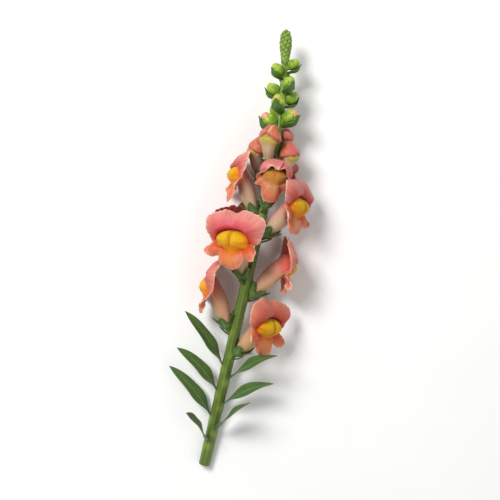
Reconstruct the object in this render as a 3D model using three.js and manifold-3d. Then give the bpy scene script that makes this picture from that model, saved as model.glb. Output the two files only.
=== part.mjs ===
// A cut snapdragon stem lying on a flat surface, in millimetres.
// +Y runs from the cut end to the green tip, +Z is up, and the surface is z = 0.
// The origin is on that surface, under the middle of the stem's box.

import * as THREE from 'three';
import { mergeVertices } from 'three/addons/utils/BufferGeometryUtils.js';
import { ParametricGeometry } from 'three/addons/geometries/ParametricGeometry.js';
import Module from 'manifold-3d';

const wasm = await Module();
wasm.setup();

// ---------------------------------------------------------------- driving dimensions

// where the cut end lies, so that the origin is under the middle of the box
const CUT_END = new THREE.Vector3(-2.2, -157, 0);

// the stem's centre line from the cut end: sideways, along, and height above the surface
const STEM_LINE = [
  [0, 0, 3.6], [2.0, 45, 8.0], [4.0, 90, 15.2], [6.6, 150, 22.6],
  [8.7, 207, 22.9], [7.8, 255, 23.2], [5.0, 285, 23.5], [1.0, 314, 23.0],
];
const STEM_LENGTH = 316;                 // about the length of that line
const STEM_RADII = [3.7, 3.7, 3.5, 3.2, 2.5, 1.5];
const STEM_SIDES = 10;
const STEM_RINGS = 20;

// one open flower, in its own frame: x away from the stem, y sideways, z towards the tip
const CALYX_AT = [6.9, 4.0];             // x and z of the tube's foot
const TUBE_RISE = 62;                    // degrees that the tube's foot climbs from x
const TUBE_WIDE = [3.4, 6.2, 8.8];       // half widths of the tube from its foot to near the mouth
const TUBE_TALL = [3.4, 5.6, 6.6];
const SHEET = 0.7;                       // thickness of a petal
const GAP = 0.3;                         // clearance between pieces that touch

// Each kind of flower: where the middle of its mouth is (x and z), the degrees that its face
// looks up, and the half sizes of its oval mouth. reach is how far the petals go out from the
// rim, by the angle from the top of the face: the cleft, an upper lobe, the corner of the mouth,
// a side lobe, a notch and the middle lobe. turns are the directions in which a petal leaves
// the rim, folds and ends, in degrees from straight ahead, and fold is the stretch of it that
// the fold takes. beside gives the turns at the sides of an upper lip that is still a hood, and
// corner is where the upper lip passes into the lower one, in degrees from the top.
const OPEN_FLOWER = {
  mouthAt: [22, 28], tilt: 6, pull: 14,
  mouth: { wide: 13, tall: 7 },
  reach: [
    [0, 19.5], [12, 23], [30, 24], [52, 20], [72, 13], [94, 3],
    [108, 8], [124, 14], [138, 13], [148, 8], [160, 14], [180, 16],
  ],
  upper: { turns: [12, 95, 128], fold: [0.2, 0.45] },
  lower: { turns: [30, 80, 135], fold: [0.15, 0.5] },
  corner: [82, 106],
  palate: { height: 8.5, sag: 1.6 },
  calyx: { long: 9.4, rise: [80, 46] },
};
const HALF_FLOWER = {
  mouthAt: [15.5, 25], tilt: 48, pull: 14,
  mouth: { wide: 9.4, tall: 7 },
  reach: [
    [0, 18], [12, 20], [30, 21], [52, 20], [72, 16], [94, 7],
    [108, 4.5], [124, 6.5], [138, 6], [148, 4], [160, 7], [180, 7.5],
  ],
  upper: { turns: [14, -22, -130], fold: [0.15, 0.5] },
  lower: { turns: [35, 105, 155], fold: [0.1, 0.5] },
  corner: [82, 106],
  palate: { height: 5, sag: 1.5 },
  calyx: { long: 8.4, rise: [82, 58] },
};
const HOODED_FLOWER = {
  mouthAt: [17, 24], tilt: 20, pull: 12,
  mouth: { wide: 9.4, tall: 7 },
  reach: [
    [0, 12.5], [14, 13.5], [36, 14], [62, 14], [84, 12.8],
    [104, 7.5], [115, 4], [127, 7], [144, 5.5], [156, 8], [166, 12.5], [180, 13.5],
  ],
  upper: { turns: [10, -32, -105], fold: [0.2, 0.55] },
  beside: { turns: [22, -8, -82], fold: [0.2, 0.55] },
  lower: { turns: [15, 118, 168], fold: [0.05, 0.36] },
  corner: [102, 118],
  palate: { height: 6, sag: 1.8 },
  calyx: { long: 8.4, rise: [82, 58] },
};
// a closed bud keeps its head near its calyx; one that is about to open has a longer tube
const CLOSED_BUD = {
  mouthAt: [15, 19], tilt: 20, pull: 8,
  head: { wide: 6.2, tall: 7.4, deep: 5.8, back: 3 },
  calyx: { long: 6.8, rise: [88, 76] },
};
const LATE_BUD = {
  mouthAt: [17, 26], tilt: 16, pull: 12,
  head: { wide: 7.8, tall: 9.6, deep: 6.8, back: 4 },
  calyx: { long: 7.6, rise: [86, 70] },
};
const LIMB_STEPS = [0.25, 0.45, 0.72, 1];
const BESIDE = [25, 75];                 // degrees from the top over which a hood's side begins
const PALATE_SIDES = 14;
const PALATE_RINGS = [1, 1, 0.86, 0.55];
const PALATE_HEIGHTS = [0, 0.3, 0.72, 0.95];
const PALATE_GROOVE = { deep: 0.3, wide: 2.2 };
const PALATE_CLEAR = 0.8;                // from the rim's middle to the palate's edge

// the coloured buds' tube, the rings of their head (spread and height) and their hood
const BUD_TUBE = { foot: 3.4, wide: 7.2, tall: 6.6, end: 0.8, swell: 1.3 };
const BUD_SIDES = 14;
const BUD_RINGS = [[0.8, -0.7], [1, -0.1], [0.92, 0.5], [0.66, 0.84], [0.34, 0.98]];
const HOOD = { proud: 2.0, edge: -1.6, soft: 0.9, wider: 0.08, higher: 0.6, crease: 1.3 };

// where the flowers stand: along the stem, the angle round it from straight up, the lean to
// one side, and the size
const FLOWERS = [
  { name: 'flower_1', along: 83, round: 54, lean: -6, size: 1.0, kind: OPEN_FLOWER },
  { name: 'flower_2', along: 99, round: -89, lean: 0, size: 1.0, kind: OPEN_FLOWER },
  { name: 'flower_3', along: 125, round: 100, lean: 4, size: 1.0, kind: OPEN_FLOWER },
  { name: 'flower_4', along: 137, round: -30, lean: 8, size: 1.0, kind: OPEN_FLOWER },
  { name: 'flower_5', along: 147, round: -128, lean: -8, size: 0.86, kind: OPEN_FLOWER },
  { name: 'flower_6', along: 168, round: 64, lean: -4, size: 0.98, kind: OPEN_FLOWER },
  { name: 'flower_7', along: 181, round: -80, lean: 4, size: 0.94, kind: OPEN_FLOWER },
  { name: 'half_open_1', along: 188, round: 8, lean: 0, size: 0.98, kind: HOODED_FLOWER },
  { name: 'half_open_2', along: 196, round: 162, lean: 0, size: 0.98, kind: HALF_FLOWER },
];
const COLOURED_BUDS = [
  { name: 'coloured_bud_1', along: 206, round: -92, lean: 0, size: 0.92, kind: LATE_BUD },
  { name: 'coloured_bud_2', along: 209, round: 74, lean: 0, size: 0.82, kind: LATE_BUD },
  { name: 'coloured_bud_3', along: 216, round: -26, lean: 0, size: 0.88, kind: LATE_BUD },
  { name: 'coloured_bud_4', along: 229, round: -155, lean: 0, size: 0.8, kind: CLOSED_BUD },
  { name: 'coloured_bud_5', along: 229, round: 130, lean: 0, size: 0.7, kind: CLOSED_BUD },
];

// the green buds climb the stem in a spiral, each in the angle of its bract; both grow smaller
const GREEN_BUDS = {
  from: 246, pitch: 4.75, count: 10, turn: 137.5, first: -72.5, long: 14.5, wide: 5.2,
  lean: 50, root: [1.2, -1.5], sizes: [1.06, 0.76],
};
const GREEN_BUD_RINGS = [
  [0.02, 0.3], [0.15, 0.4], [0.3, 0.86], [0.5, 1], [0.74, 0.84], [0.77, 0.62], [0.94, 0.4],
];
const GREEN_BUD_EDGE = 5;                // the ring of that list at which the lobes end
const BUD_BRACT = {
  long: 18, wide: 7.6, thick: 0.8, rise: 14, bend: 58, fold: 0.3, rings: 3, foot: [1.2, -4.6],
};

// the tight tip: its radii from the neck to the point, and the low bumps of its tiny buds
const TIP = {
  from: 289, buds: 30, turn: 137.5, radii: [1.8, 2.6, 3.1, 3.7, 4.3, 4.4, 4.2, 3.2, 0],
  bump: 0.8, long: 5.0, wide: 3.0, rings: 22, sides: 15,
};

// the leaves stand by turns to the left and right of straight up, as those beneath are pressed aside
const LEAVES = {
  from: 14, pitch: 9.5, count: 7, aside: 58, stray: 34, long: 50, uneven: 0.12, wide: 11, thick: 0.8,
  rise: 52, bend: -24, fold: 0.22, rings: 6, root: 0.3, twist: 50, foot: 1.2,
};
const SEPALS = 5;
const SEPAL = { notch: 2.2, thick: 0.8, ring: 4.25, pointed: 1.7 };
// under the lobes: the stalk's root and radius, and the cup's foot, drop and inner radius
const CUP = { root: [0.3, -2.0], stalk: 1.3, foot: 2.2, drop: 2.9, inner: 3.7 };
const BRACT = { long: 12, wide: 5.2, thick: 0.7, rise: 8, bend: 34, rings: 3, foot: [1.0, -3.4] };
const TABLE = [400, 500, 60];            // a block under the surface, larger than the stem

// ---------------------------------------------------------------- small helpers

const rad = THREE.MathUtils.degToRad;
const mix = THREE.MathUtils.lerp;
const ease = (low, high, x) => THREE.MathUtils.smoothstep(x, low, high);

// A repeatable draw between -1 and 1 for the n-th thing of a kind.
function draw(n, kind) {
  const wave = Math.sin(n * 12.9898 + kind * 78.233) * 43758.5453;
  return 2 * (wave - Math.floor(wave)) - 1;
}

// The value at x of a smooth line through a list of [x, value] pairs.
function along(pairs, x) {
  let i = 0;
  while (i < pairs.length - 2 && x > pairs[i + 1][0]) i += 1;
  const [x0, y0] = pairs[i];
  const [x1, y1] = pairs[i + 1];
  return mix(y0, y1, ease(x0, x1, x));
}

// The value at t from 0 to 1 of a straight-lined run through evenly spaced values.
function run(values, t) {
  const place = THREE.MathUtils.clamp(t, 0, 1) * (values.length - 1);
  const i = Math.min(Math.floor(place), values.length - 2);
  return mix(values[i], values[i + 1], place - i);
}

// A closed body from rings of points: the first and last ring are single points.
// turned tells from which ring on the squares are split along their other diagonal,
// so that the two faces of a folded sheet are split alike.
function ringBody(rings, sides, pointAt, turned = Infinity) {
  const point = (u, v, target) => {
    const ring = Math.round(v * (rings - 1));
    const side = Math.round(u * sides) % sides;
    target.copy(pointAt(ring, side));
  };
  const body = new ParametricGeometry(point, sides, rings - 1);
  const index = [];
  const at = (ring, side) => ring * (sides + 1) + side;
  for (let ring = 0; ring < rings - 1; ring += 1) {
    for (let side = 0; side < sides; side += 1) {
      const [a, b] = [at(ring, side), at(ring, side + 1)];
      const [d, c] = [at(ring + 1, side), at(ring + 1, side + 1)];
      if (ring >= turned) index.push(a, b, c, a, c, d);
      else index.push(a, b, d, b, c, d);
    }
  }
  body.setIndex(index);
  return body;
}

// A manifold solid of a closed geometry, placed by a matrix and facing outwards.
function solid(geometry, place = new THREE.Matrix4()) {
  const bare = geometry.clone().applyMatrix4(place);
  bare.deleteAttribute('normal');
  bare.deleteAttribute('uv');
  const merged = mergeVertices(bare, 1e-4);
  const points = merged.getAttribute('position');
  const corners = [];
  const [p, q, r] = [new THREE.Vector3(), new THREE.Vector3(), new THREE.Vector3()];
  let volume = 0;
  for (let i = 0; i < merged.index.count; i += 3) {
    const [a, b, c] = [0, 1, 2].map((k) => merged.index.getX(i + k));
    if (a === b || b === c || a === c) continue;
    corners.push([a, b, c]);
    p.fromBufferAttribute(points, a);
    q.fromBufferAttribute(points, b);
    r.fromBufferAttribute(points, c);
    volume += p.dot(q.cross(r));
  }
  const triVerts = Uint32Array.from(corners.flatMap((c) => (volume < 0 ? [c[0], c[2], c[1]] : c)));
  const vertProperties = Float32Array.from(points.array);
  return new wasm.Manifold(new wasm.Mesh({ numProp: 3, vertProperties, triVerts }));
}

function join(solids) {
  return solids.reduce((whole, piece) => whole.add(piece));
}

// A finished mesh of a solid.
function meshOf(body, name, color, roughness) {
  const { numProp, vertProperties, triVerts } = body.getMesh();
  const geometry = new THREE.BufferGeometry();
  const points = new Float32Array((vertProperties.length / numProp) * 3);
  for (let i = 0; i < points.length / 3; i += 1) {
    for (let k = 0; k < 3; k += 1) points[i * 3 + k] = vertProperties[i * numProp + k];
  }
  geometry.setAttribute('position', new THREE.BufferAttribute(points, 3));
  geometry.setIndex(new THREE.BufferAttribute(Uint32Array.from(triVerts), 1));
  geometry.computeVertexNormals();
  const material = new THREE.MeshStandardMaterial({ color, roughness, metalness: 0 });
  const mesh = new THREE.Mesh(geometry, material);
  mesh.name = name;
  return mesh;
}

// What lies below the surface is pressed flat against it.
const underSurface = solid(
  new THREE.BoxGeometry(...TABLE),
  new THREE.Matrix4().makeTranslation(0, 0, -TABLE[2] / 2),
);
const pressedFlat = (body) => body.subtract(underSurface);

// ---------------------------------------------------------------- the stem's line

const stemLine = new THREE.CatmullRomCurve3(
  STEM_LINE.map((p) => new THREE.Vector3(...p).add(CUT_END)),
);
const UP = new THREE.Vector3(0, 0, 1);

// The frame of something that stands on the stem: its x points away from the stem at an angle
// round it from straight up, its z runs towards the tip, and its origin is on the centre line.
function onStem(distance, round) {
  const t = THREE.MathUtils.clamp(distance / STEM_LENGTH, 0, 1);
  const tip = stemLine.getTangentAt(t);
  const above = UP.clone().addScaledVector(tip, -UP.dot(tip)).normalize();
  const aside = new THREE.Vector3().crossVectors(tip, above);
  const out = above.multiplyScalar(Math.cos(rad(round))).addScaledVector(aside, Math.sin(rad(round)));
  const side = new THREE.Vector3().crossVectors(tip, out);
  return new THREE.Matrix4().makeBasis(out, side, tip).setPosition(stemLine.getPointAt(t));
}

const stemRadius = (distance) => run(STEM_RADII, distance / STEM_LENGTH);

// The bare stem: a round rod that tapers to the tip.
function stemRod() {
  const rings = STEM_RINGS + 2;
  return ringBody(rings, STEM_SIDES, (ring, side) => {
    const distance = (THREE.MathUtils.clamp(ring - 1, 0, STEM_RINGS - 1) / (STEM_RINGS - 1)) * STEM_LENGTH;
    const open = ring === 0 || ring === rings - 1 ? 0 : stemRadius(distance);
    const turn = (2 * Math.PI * (side + 0.5)) / STEM_SIDES;
    const point = new THREE.Vector3(open * Math.cos(turn), open * Math.sin(turn), 0);
    return point.applyMatrix4(onStem(distance, 0));
  });
}

// ---------------------------------------------------------------- blades: leaves, bracts and sepals

// A thin blade that leaves its root at the angle rise from x, and bends evenly by bend degrees.
// Its width swells and narrows to a point, its two halves are folded up by fold, and it turns
// about its own length by twist.
function blade({ long, wide, thick, rise, bend, fold = 0, twist = 0, rings, root = 0.45 }) {
  const fullest = 0.4;
  const steps = 24;
  const line = [new THREE.Vector2(0, 0)];
  for (let i = 0; i < steps; i += 1) {
    const turn = rad(rise + bend * ((i + 0.5) / steps));
    const last = line[i];
    const step = new THREE.Vector2(Math.cos(turn), Math.sin(turn)).multiplyScalar(long / steps);
    line.push(step.add(last));
  }
  const flat = [[-1, 1], [1, 1], [1, -1], [-1, -1]];
  const loop = fold ? [[-1, 1], [0, 1], [1, 1], [1, -1], [0, -1], [-1, -1]] : flat;
  return ringBody(rings + 3, loop.length, (ring, corner) => {
    const t = THREE.MathUtils.clamp((ring - 1) / (rings + 0.35), 0, 1);
    const end = ring === rings + 2;
    const at = line[Math.round((end ? 1 : t) * steps)];
    const turn = rad(rise + bend * t);
    const swell = t < fullest ? mix(root, 1, Math.sin((t / fullest) * Math.PI / 2))
      : Math.cos(((t - fullest) / (1 - fullest)) * Math.PI / 2) ** 0.8;
    const [side, face] = loop[corner];
    const half = ring === 0 || end ? 0 : (wide / 2) * Math.max(swell, 0.12);
    const lift = ring === 0 || end ? 0 : (face * thick) / 2 + Math.abs(side) * half * fold;
    const roll = rad(twist * ease(0, 0.5, t));
    const [aside, above] = [
      side * half * Math.cos(roll) - lift * Math.sin(roll),
      side * half * Math.sin(roll) + lift * Math.cos(roll),
    ];
    return new THREE.Vector3(at.x - Math.sin(turn) * above, aside, at.y + Math.cos(turn) * above);
  });
}

// ---------------------------------------------------------------- the flower's own shapes

const tubeFoot = new THREE.Vector3(CALYX_AT[0], 0, CALYX_AT[1]);
const tubeStart = new THREE.Vector3(Math.cos(rad(TUBE_RISE)), 0, Math.sin(rad(TUBE_RISE)));

const mouthCentre = (kind) => new THREE.Vector3(kind.mouthAt[0], 0, kind.mouthAt[1]);
const faceUp = (kind) => new THREE.Vector3(-Math.sin(rad(kind.tilt)), 0, Math.cos(rad(kind.tilt)));
const tubeLine = (kind) => new THREE.QuadraticBezierCurve3(
  tubeFoot, tubeFoot.clone().addScaledVector(tubeStart, kind.pull), mouthCentre(kind),
);

// A point of the face: sideways, up the face, and ahead of the mouth.
function onFace(kind, sideways, up, ahead) {
  const normal = new THREE.Vector3(Math.cos(rad(kind.tilt)), 0, Math.sin(rad(kind.tilt)));
  return mouthCentre(kind).addScaledVector(faceUp(kind), up).addScaledVector(normal, ahead)
    .add(new THREE.Vector3(0, sideways, 0));
}

// A point of the tube's skin: t runs from its foot to the mouth, turn goes round from its top.
function onTube(kind, t, turn, wide, tall) {
  const line = tubeLine(kind);
  const tangent = line.getTangent(t);
  const upward = new THREE.Vector3(-tangent.z, 0, tangent.x).lerp(faceUp(kind), ease(0.4, 1, t)).normalize();
  return line.getPoint(t).addScaledVector(upward, Math.cos(turn) * tall)
    .add(new THREE.Vector3(0, Math.sin(turn) * wide, 0));
}

// The middle of the petal's sheet at an angle from the top of the face and a part of its reach.
// From the rim of the mouth it goes along a bent line whose direction turns twice.
function petalPoint(kind, angle, part) {
  const fromTop = angle <= 180 ? angle : 360 - angle;
  const sign = angle <= 180 ? 1 : -1;
  const toLower = ease(...kind.corner, fromTop);
  const toSide = ease(...BESIDE, fromTop);
  const turnAt = ({ turns, fold }, x) => (
    mix(mix(turns[0], turns[1], ease(...fold, x)), turns[2], Math.max(0, (x - fold[1]) / (1 - fold[1])))
  );
  const reach = along(kind.reach, fromTop);
  const steps = 24;
  let [outward, ahead] = [0, 0];
  for (let i = 0; i < steps; i += 1) {
    const x = ((i + 0.5) / steps) * part;
    const upper = mix(turnAt(kind.upper, x), turnAt(kind.beside ?? kind.upper, x), toSide);
    const turn = rad(mix(upper, turnAt(kind.lower, x), toLower));
    outward += (Math.sin(turn) * reach * part) / steps;
    ahead += (Math.cos(turn) * reach * part) / steps;
  }
  const a = rad(fromTop);
  return onFace(
    kind,
    sign * Math.sin(a) * (kind.mouth.wide + outward),
    Math.cos(a) * (kind.mouth.tall + outward),
    ahead,
  );
}

// The sheet's face on one side of its middle: face 1 is the front, -1 the back.
function petalFace(kind, angle, part, face) {
  const [step, nudge] = [2, 0.02];
  const at = petalPoint(kind, angle, part);
  const before = petalPoint(kind, (angle - step + 360) % 360, part);
  const acrossway = petalPoint(kind, (angle + step) % 360, part).sub(before);
  const inner = petalPoint(kind, angle, Math.max(part - nudge, 0));
  const outway = petalPoint(kind, angle, Math.min(part + nudge, 1)).sub(inner);
  const normal = acrossway.cross(outway).normalize();
  return at.addScaledVector(normal, (face * SHEET) / 2);
}

// All the angles at which the face is cut: those of the reach, mirrored to the other side.
function faceAngles(kind) {
  const right = kind.reach.map(([angle]) => angle);
  const left = right.slice(1, -1).reverse().map((angle) => 360 - angle);
  return [...right, ...left];
}

// The corolla in one piece: up the outside of the tube, out along the back of the petals,
// back along their front, and over the closed throat.
function corolla(kind) {
  const angles = faceAngles(kind);
  const tubeRings = TUBE_WIDE.length;
  const limb = LIMB_STEPS.length;
  const rings = 1 + tubeRings + 1 + limb + limb + 1 + 1;
  const frontFrom = tubeRings + 2 + limb;
  return ringBody(rings, angles.length, (ring, side) => {
    const angle = angles[side];
    if (ring === 0) return tubeFoot.clone();
    if (ring === rings - 1) return onFace(kind, 0, 0, 0);
    if (ring <= tubeRings) {
      const t = ((ring - 1) / tubeRings) ** 0.9;
      const widen = mix(1, kind.mouth.wide / OPEN_FLOWER.mouth.wide, ease(0.3, 1, t));
      return onTube(kind, t, rad(angle), TUBE_WIDE[ring - 1] * widen, TUBE_TALL[ring - 1]);
    }
    if (ring < frontFrom) {
      const step = ring - tubeRings - 1;
      return petalFace(kind, angle, step === 0 ? 0 : LIMB_STEPS[step - 1], -1);
    }
    const step = limb - 1 - (ring - frontFrom);
    return petalFace(kind, angle, step < 0 ? 0 : LIMB_STEPS[step], 1);
  }, frontFrom);
}

// The palate: an oval cushion with a groove down its middle that closes the mouth.
function palate(kind) {
  const { height, sag } = kind.palate;
  const rings = PALATE_RINGS.length + 2;
  const bump = (sideways) => 1 - PALATE_GROOVE.deep * Math.exp(-((sideways / PALATE_GROOVE.wide) ** 2));
  return ringBody(rings, PALATE_SIDES, (ring, side) => {
    const a = (2 * Math.PI * side) / PALATE_SIDES;
    const foot = GAP + SHEET / 2;
    if (ring === 0) return onFace(kind, 0, 0, foot);
    const top = ring === rings - 1;
    const spread = top ? 0 : PALATE_RINGS[ring - 1];
    const rise = top ? 1 : PALATE_HEIGHTS[ring - 1];
    const sideways = Math.sin(a) * spread * (kind.mouth.wide - PALATE_CLEAR);
    const up = Math.cos(a) * spread * (kind.mouth.tall - PALATE_CLEAR);
    return onFace(kind, sideways, up - sag * rise, foot + height * rise * bump(sideways));
  });
}

// A closed coloured bud: a slim tube and a nodding head, whose upper part is the hood,
// folded down over the lower lip with an edge that stands proud of it.
function colouredBud(kind) {
  const tubeRings = 3;
  const rings = 1 + tubeRings + BUD_RINGS.length + 1;
  const { wide, tall, deep, back } = kind.head;
  const headAt = (sideways, up, ahead) => {
    const hood = ease(HOOD.edge - HOOD.soft, HOOD.edge + HOOD.soft, up + 0.25 * Math.abs(sideways));
    const crease = HOOD.crease * Math.exp(-((sideways / HOOD.crease) ** 2)) * ease(-1, 3, up);
    const out = ahead + HOOD.proud * hood - crease - back;
    return onFace(kind, sideways * (1 + HOOD.wider * hood), up + HOOD.higher * hood, out);
  };
  return ringBody(rings, BUD_SIDES, (ring, side) => {
    const a = (2 * Math.PI * side) / BUD_SIDES;
    if (ring === 0) return tubeFoot.clone();
    if (ring === rings - 1) return headAt(0, 0, deep);
    if (ring <= tubeRings) {
      const t = ((ring - 1) / tubeRings) * BUD_TUBE.end;
      const swell = t ** BUD_TUBE.swell;
      const half = (most) => mix(BUD_TUBE.foot, most, swell);
      return onTube(kind, t, a, half(BUD_TUBE.wide), half(BUD_TUBE.tall));
    }
    const [spread, ahead] = BUD_RINGS[ring - tubeRings - 1];
    return headAt(Math.sin(a) * spread * wide, Math.cos(a) * spread * tall, ahead * deep);
  });
}

// ---------------------------------------------------------------- green parts in the flower's frame

// A matrix that turns things built along +z to stand along the tube's foot.
const calyxFrame = new THREE.Matrix4().makeBasis(
  new THREE.Vector3(tubeStart.z, 0, -tubeStart.x), new THREE.Vector3(0, 1, 0), tubeStart,
).setPosition(tubeFoot);

// How far the calyx reaches from its cup, by the angle round it: five lobes with notches between.
function calyxReach(kind, turn) {
  const lobe = (turn * SEPALS) / 360;
  const aside = 2 * Math.abs(lobe - Math.round(lobe));
  return mix(kind.calyx.long, SEPAL.notch, aside ** SEPAL.pointed);
}

// A point of the calyx in its own frame: the lobe bends outwards as it climbs from the cup.
function sepalPoint(kind, turn, part, face) {
  const reach = calyxReach(kind, turn) * part;
  const end = rad(mix(...kind.calyx.rise, part));
  const middle = (rad(kind.calyx.rise[0]) + end) / 2;
  const out = SEPAL.ring + Math.cos(middle) * reach + (Math.sin(end) * face * SEPAL.thick) / 2;
  const up = Math.sin(middle) * reach - 0.6 - (Math.cos(end) * face * SEPAL.thick) / 2;
  return new THREE.Vector3(Math.cos(rad(turn)) * out, Math.sin(rad(turn)) * out, up);
}

// The short stalk, the cup that the tube stands in and its five lobes, in one piece: up the
// outside to the lobes' tips, and down their inside to the floor of the cup.
function calyx(kind) {
  const sides = SEPALS * 4;
  const floor = new THREE.Vector3(0, 0, -GAP - 0.05);
  const root = new THREE.Vector3(CUP.root[0], 0, CUP.root[1]);
  const toFoot = tubeFoot.clone().sub(root).normalize();
  const across = new THREE.Vector3(toFoot.z, 0, -toFoot.x);
  return ringBody(8, sides, (ring, side) => {
    // the stalk has half as many sides, so there two neighbouring points fall together
    const turn = (360 * (ring < 3 || ring > 5 ? side - (side % 2) : side)) / sides;
    const [c, s] = [Math.cos(rad(turn)), Math.sin(rad(turn))];
    if (ring === 0) return root.clone();
    const beside = new THREE.Vector3(0, CUP.stalk * s, 0);
    if (ring === 1) return root.clone().addScaledVector(across, CUP.stalk * c).add(beside);
    if (ring === 2) return new THREE.Vector3(CUP.foot * c, CUP.foot * s, -CUP.drop).applyMatrix4(calyxFrame);
    if (ring === 3) return sepalPoint(kind, turn, 0, 1).applyMatrix4(calyxFrame);
    if (ring === 4) return sepalPoint(kind, turn, 1, 1).applyMatrix4(calyxFrame);
    if (ring === 5) return sepalPoint(kind, turn, 1, -1).applyMatrix4(calyxFrame);
    if (ring === 6) return new THREE.Vector3(CUP.inner * c, CUP.inner * s, floor.z).applyMatrix4(calyxFrame);
    return floor.clone().applyMatrix4(calyxFrame);
  }, 5);
}

function bractSolid(place, size = 1) {
  const shape = blade({ ...BRACT, long: BRACT.long * size, wide: BRACT.wide * size });
  const foot = new THREE.Matrix4().makeTranslation(BRACT.foot[0], 0, BRACT.foot[1]);
  return solid(shape, place.clone().multiply(foot));
}

const sized = (size) => new THREE.Matrix4().makeScale(size, size, size);

// The frame of a flower or a coloured bud, leant to its side and sized.
function placeOf(flower) {
  const lean = new THREE.Matrix4().makeRotationX(rad(flower.lean));
  return onStem(flower.along, flower.round).multiply(lean).multiply(sized(flower.size));
}

// A round green bud along z: a short stalk, five lobes that close round it to about two thirds
// of its length, and the paler tip of the corolla that stands out of them.
function greenBud() {
  const sides = SEPALS * 2;
  const rings = GREEN_BUD_RINGS.length + 2;
  return ringBody(rings, sides, (ring, side) => {
    const turn = (2 * Math.PI * side) / sides;
    if (ring === 0) return new THREE.Vector3(0, 0, 0);
    if (ring === rings - 1) return new THREE.Vector3(0, 0, GREEN_BUDS.long);
    const [height, width] = GREEN_BUD_RINGS[ring - 1];
    const lobe = side % 2 ? -1 : 1;
    const edge = ring === GREEN_BUD_EDGE || ring === GREEN_BUD_EDGE + 1 ? 0.07 * lobe : 0;
    const ridge = ring > 2 && ring <= GREEN_BUD_EDGE ? 0.07 * lobe : 0;
    const radius = GREEN_BUDS.wide * width * (1 + ridge);
    const high = GREEN_BUDS.long * (height + edge);
    return new THREE.Vector3(radius * Math.cos(turn), radius * Math.sin(turn), high);
  });
}

// A green bud in the angle of its bract.
function greenBudSolids(place, size) {
  const seatAt = ([out, up]) => place.clone().multiply(new THREE.Matrix4().makeTranslation(out, 0, up));
  const lean = new THREE.Matrix4().makeRotationY(rad(GREEN_BUDS.lean));
  return [
    solid(greenBud(), seatAt(GREEN_BUDS.root).multiply(lean).multiply(sized(size))),
    solid(blade(BUD_BRACT), seatAt(BUD_BRACT.foot).multiply(sized(size))),
  ];
}

// The tight green tip: a spindle whose surface is raised over each tiny bud of the spiral.
function tipBody() {
  const length = STEM_LENGTH - TIP.from;
  const heights = Array.from({ length: TIP.buds }, (_, i) => length * ((i + 0.5) / TIP.buds) ** 0.95);
  return ringBody(TIP.rings, TIP.sides, (ring, side) => {
    const t = ring / (TIP.rings - 1);
    const place = onStem(TIP.from + t * length, 0);
    if (ring === 0 || t === 1) return new THREE.Vector3().setFromMatrixPosition(place);
    const turn = (2 * Math.PI * side) / TIP.sides;
    const radius = run(TIP.radii, t);
    const bumps = heights.map((height, i) => {
      const away = Math.atan2(Math.sin(turn - rad(TIP.turn * i)), Math.cos(turn - rad(TIP.turn * i)));
      const far = Math.hypot((away * radius) / (TIP.wide / 2), (t * length - height) / (TIP.long / 2));
      return Math.max(0, 1 - far * far);
    });
    const out = Math.max(radius - TIP.bump / 2, 0) + TIP.bump * Math.max(...bumps);
    return new THREE.Vector3(out * Math.cos(turn), out * Math.sin(turn), 0).applyMatrix4(place);
  });
}

function leafyStem() {
  const pieces = [solid(stemRod()), solid(tipBody())];
  for (const flower of [...FLOWERS, ...COLOURED_BUDS]) {
    pieces.push(solid(calyx(flower.kind), placeOf(flower)));
    pieces.push(bractSolid(onStem(flower.along, flower.round), mix(0.8, 1, flower.size)));
  }
  for (let i = 0; i < GREEN_BUDS.count; i += 1) {
    const place = onStem(GREEN_BUDS.from + GREEN_BUDS.pitch * i, GREEN_BUDS.first + GREEN_BUDS.turn * i);
    pieces.push(...greenBudSolids(place, mix(...GREEN_BUDS.sizes, i / (GREEN_BUDS.count - 1))));
  }
  for (let i = 0; i < LEAVES.count; i += 1) {
    const distance = LEAVES.from + LEAVES.pitch * i;
    const hand = i % 2 ? 1 : -1;
    const round = hand * (LEAVES.aside + LEAVES.stray * draw(i, 7));
    const place = onStem(distance, round).multiply(new THREE.Matrix4().makeTranslation(LEAVES.foot, 0, 0));
    const long = LEAVES.long * (1 + LEAVES.uneven * draw(i, 1));
    pieces.push(solid(blade({ ...LEAVES, long, twist: hand * LEAVES.twist }), place));
  }
  return join(pieces);
}

// ---------------------------------------------------------------- the whole stem

const PINK = 0xd9705f;
const YELLOW = 0xe8b41e;
const TAN = 0xd2a050;
const BUD_PINK = 0xd8796a;
const GREEN = 0x5f8a3a;

const stem = new THREE.Group();
stem.add(meshOf(pressedFlat(leafyStem()), 'leafy_stem', GREEN, 0.6));

for (const flower of FLOWERS) {
  const place = placeOf(flower);
  const yellow = flower.kind === OPEN_FLOWER ? YELLOW : TAN;
  stem.add(meshOf(pressedFlat(solid(corolla(flower.kind), place)), `${flower.name}_corolla`, PINK, 0.55));
  stem.add(meshOf(pressedFlat(solid(palate(flower.kind), place)), `${flower.name}_palate`, yellow, 0.5));
}
for (const bud of COLOURED_BUDS) {
  stem.add(meshOf(pressedFlat(solid(colouredBud(bud.kind), placeOf(bud))), bud.name, BUD_PINK, 0.55));
}

export default stem;
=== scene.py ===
# %% [markdown]
# # Dressing a cut snapdragon stem
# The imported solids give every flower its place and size. This lesson makes the living surface
# over them: thin two-lipped petals, yellow palates, folded buds and a leafy green stem.
# All shapes are worked out with numpy as closed surfaces, in millimetres, and put into meshes
# in metres, so that each piece lies exactly where its solid lies.

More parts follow.
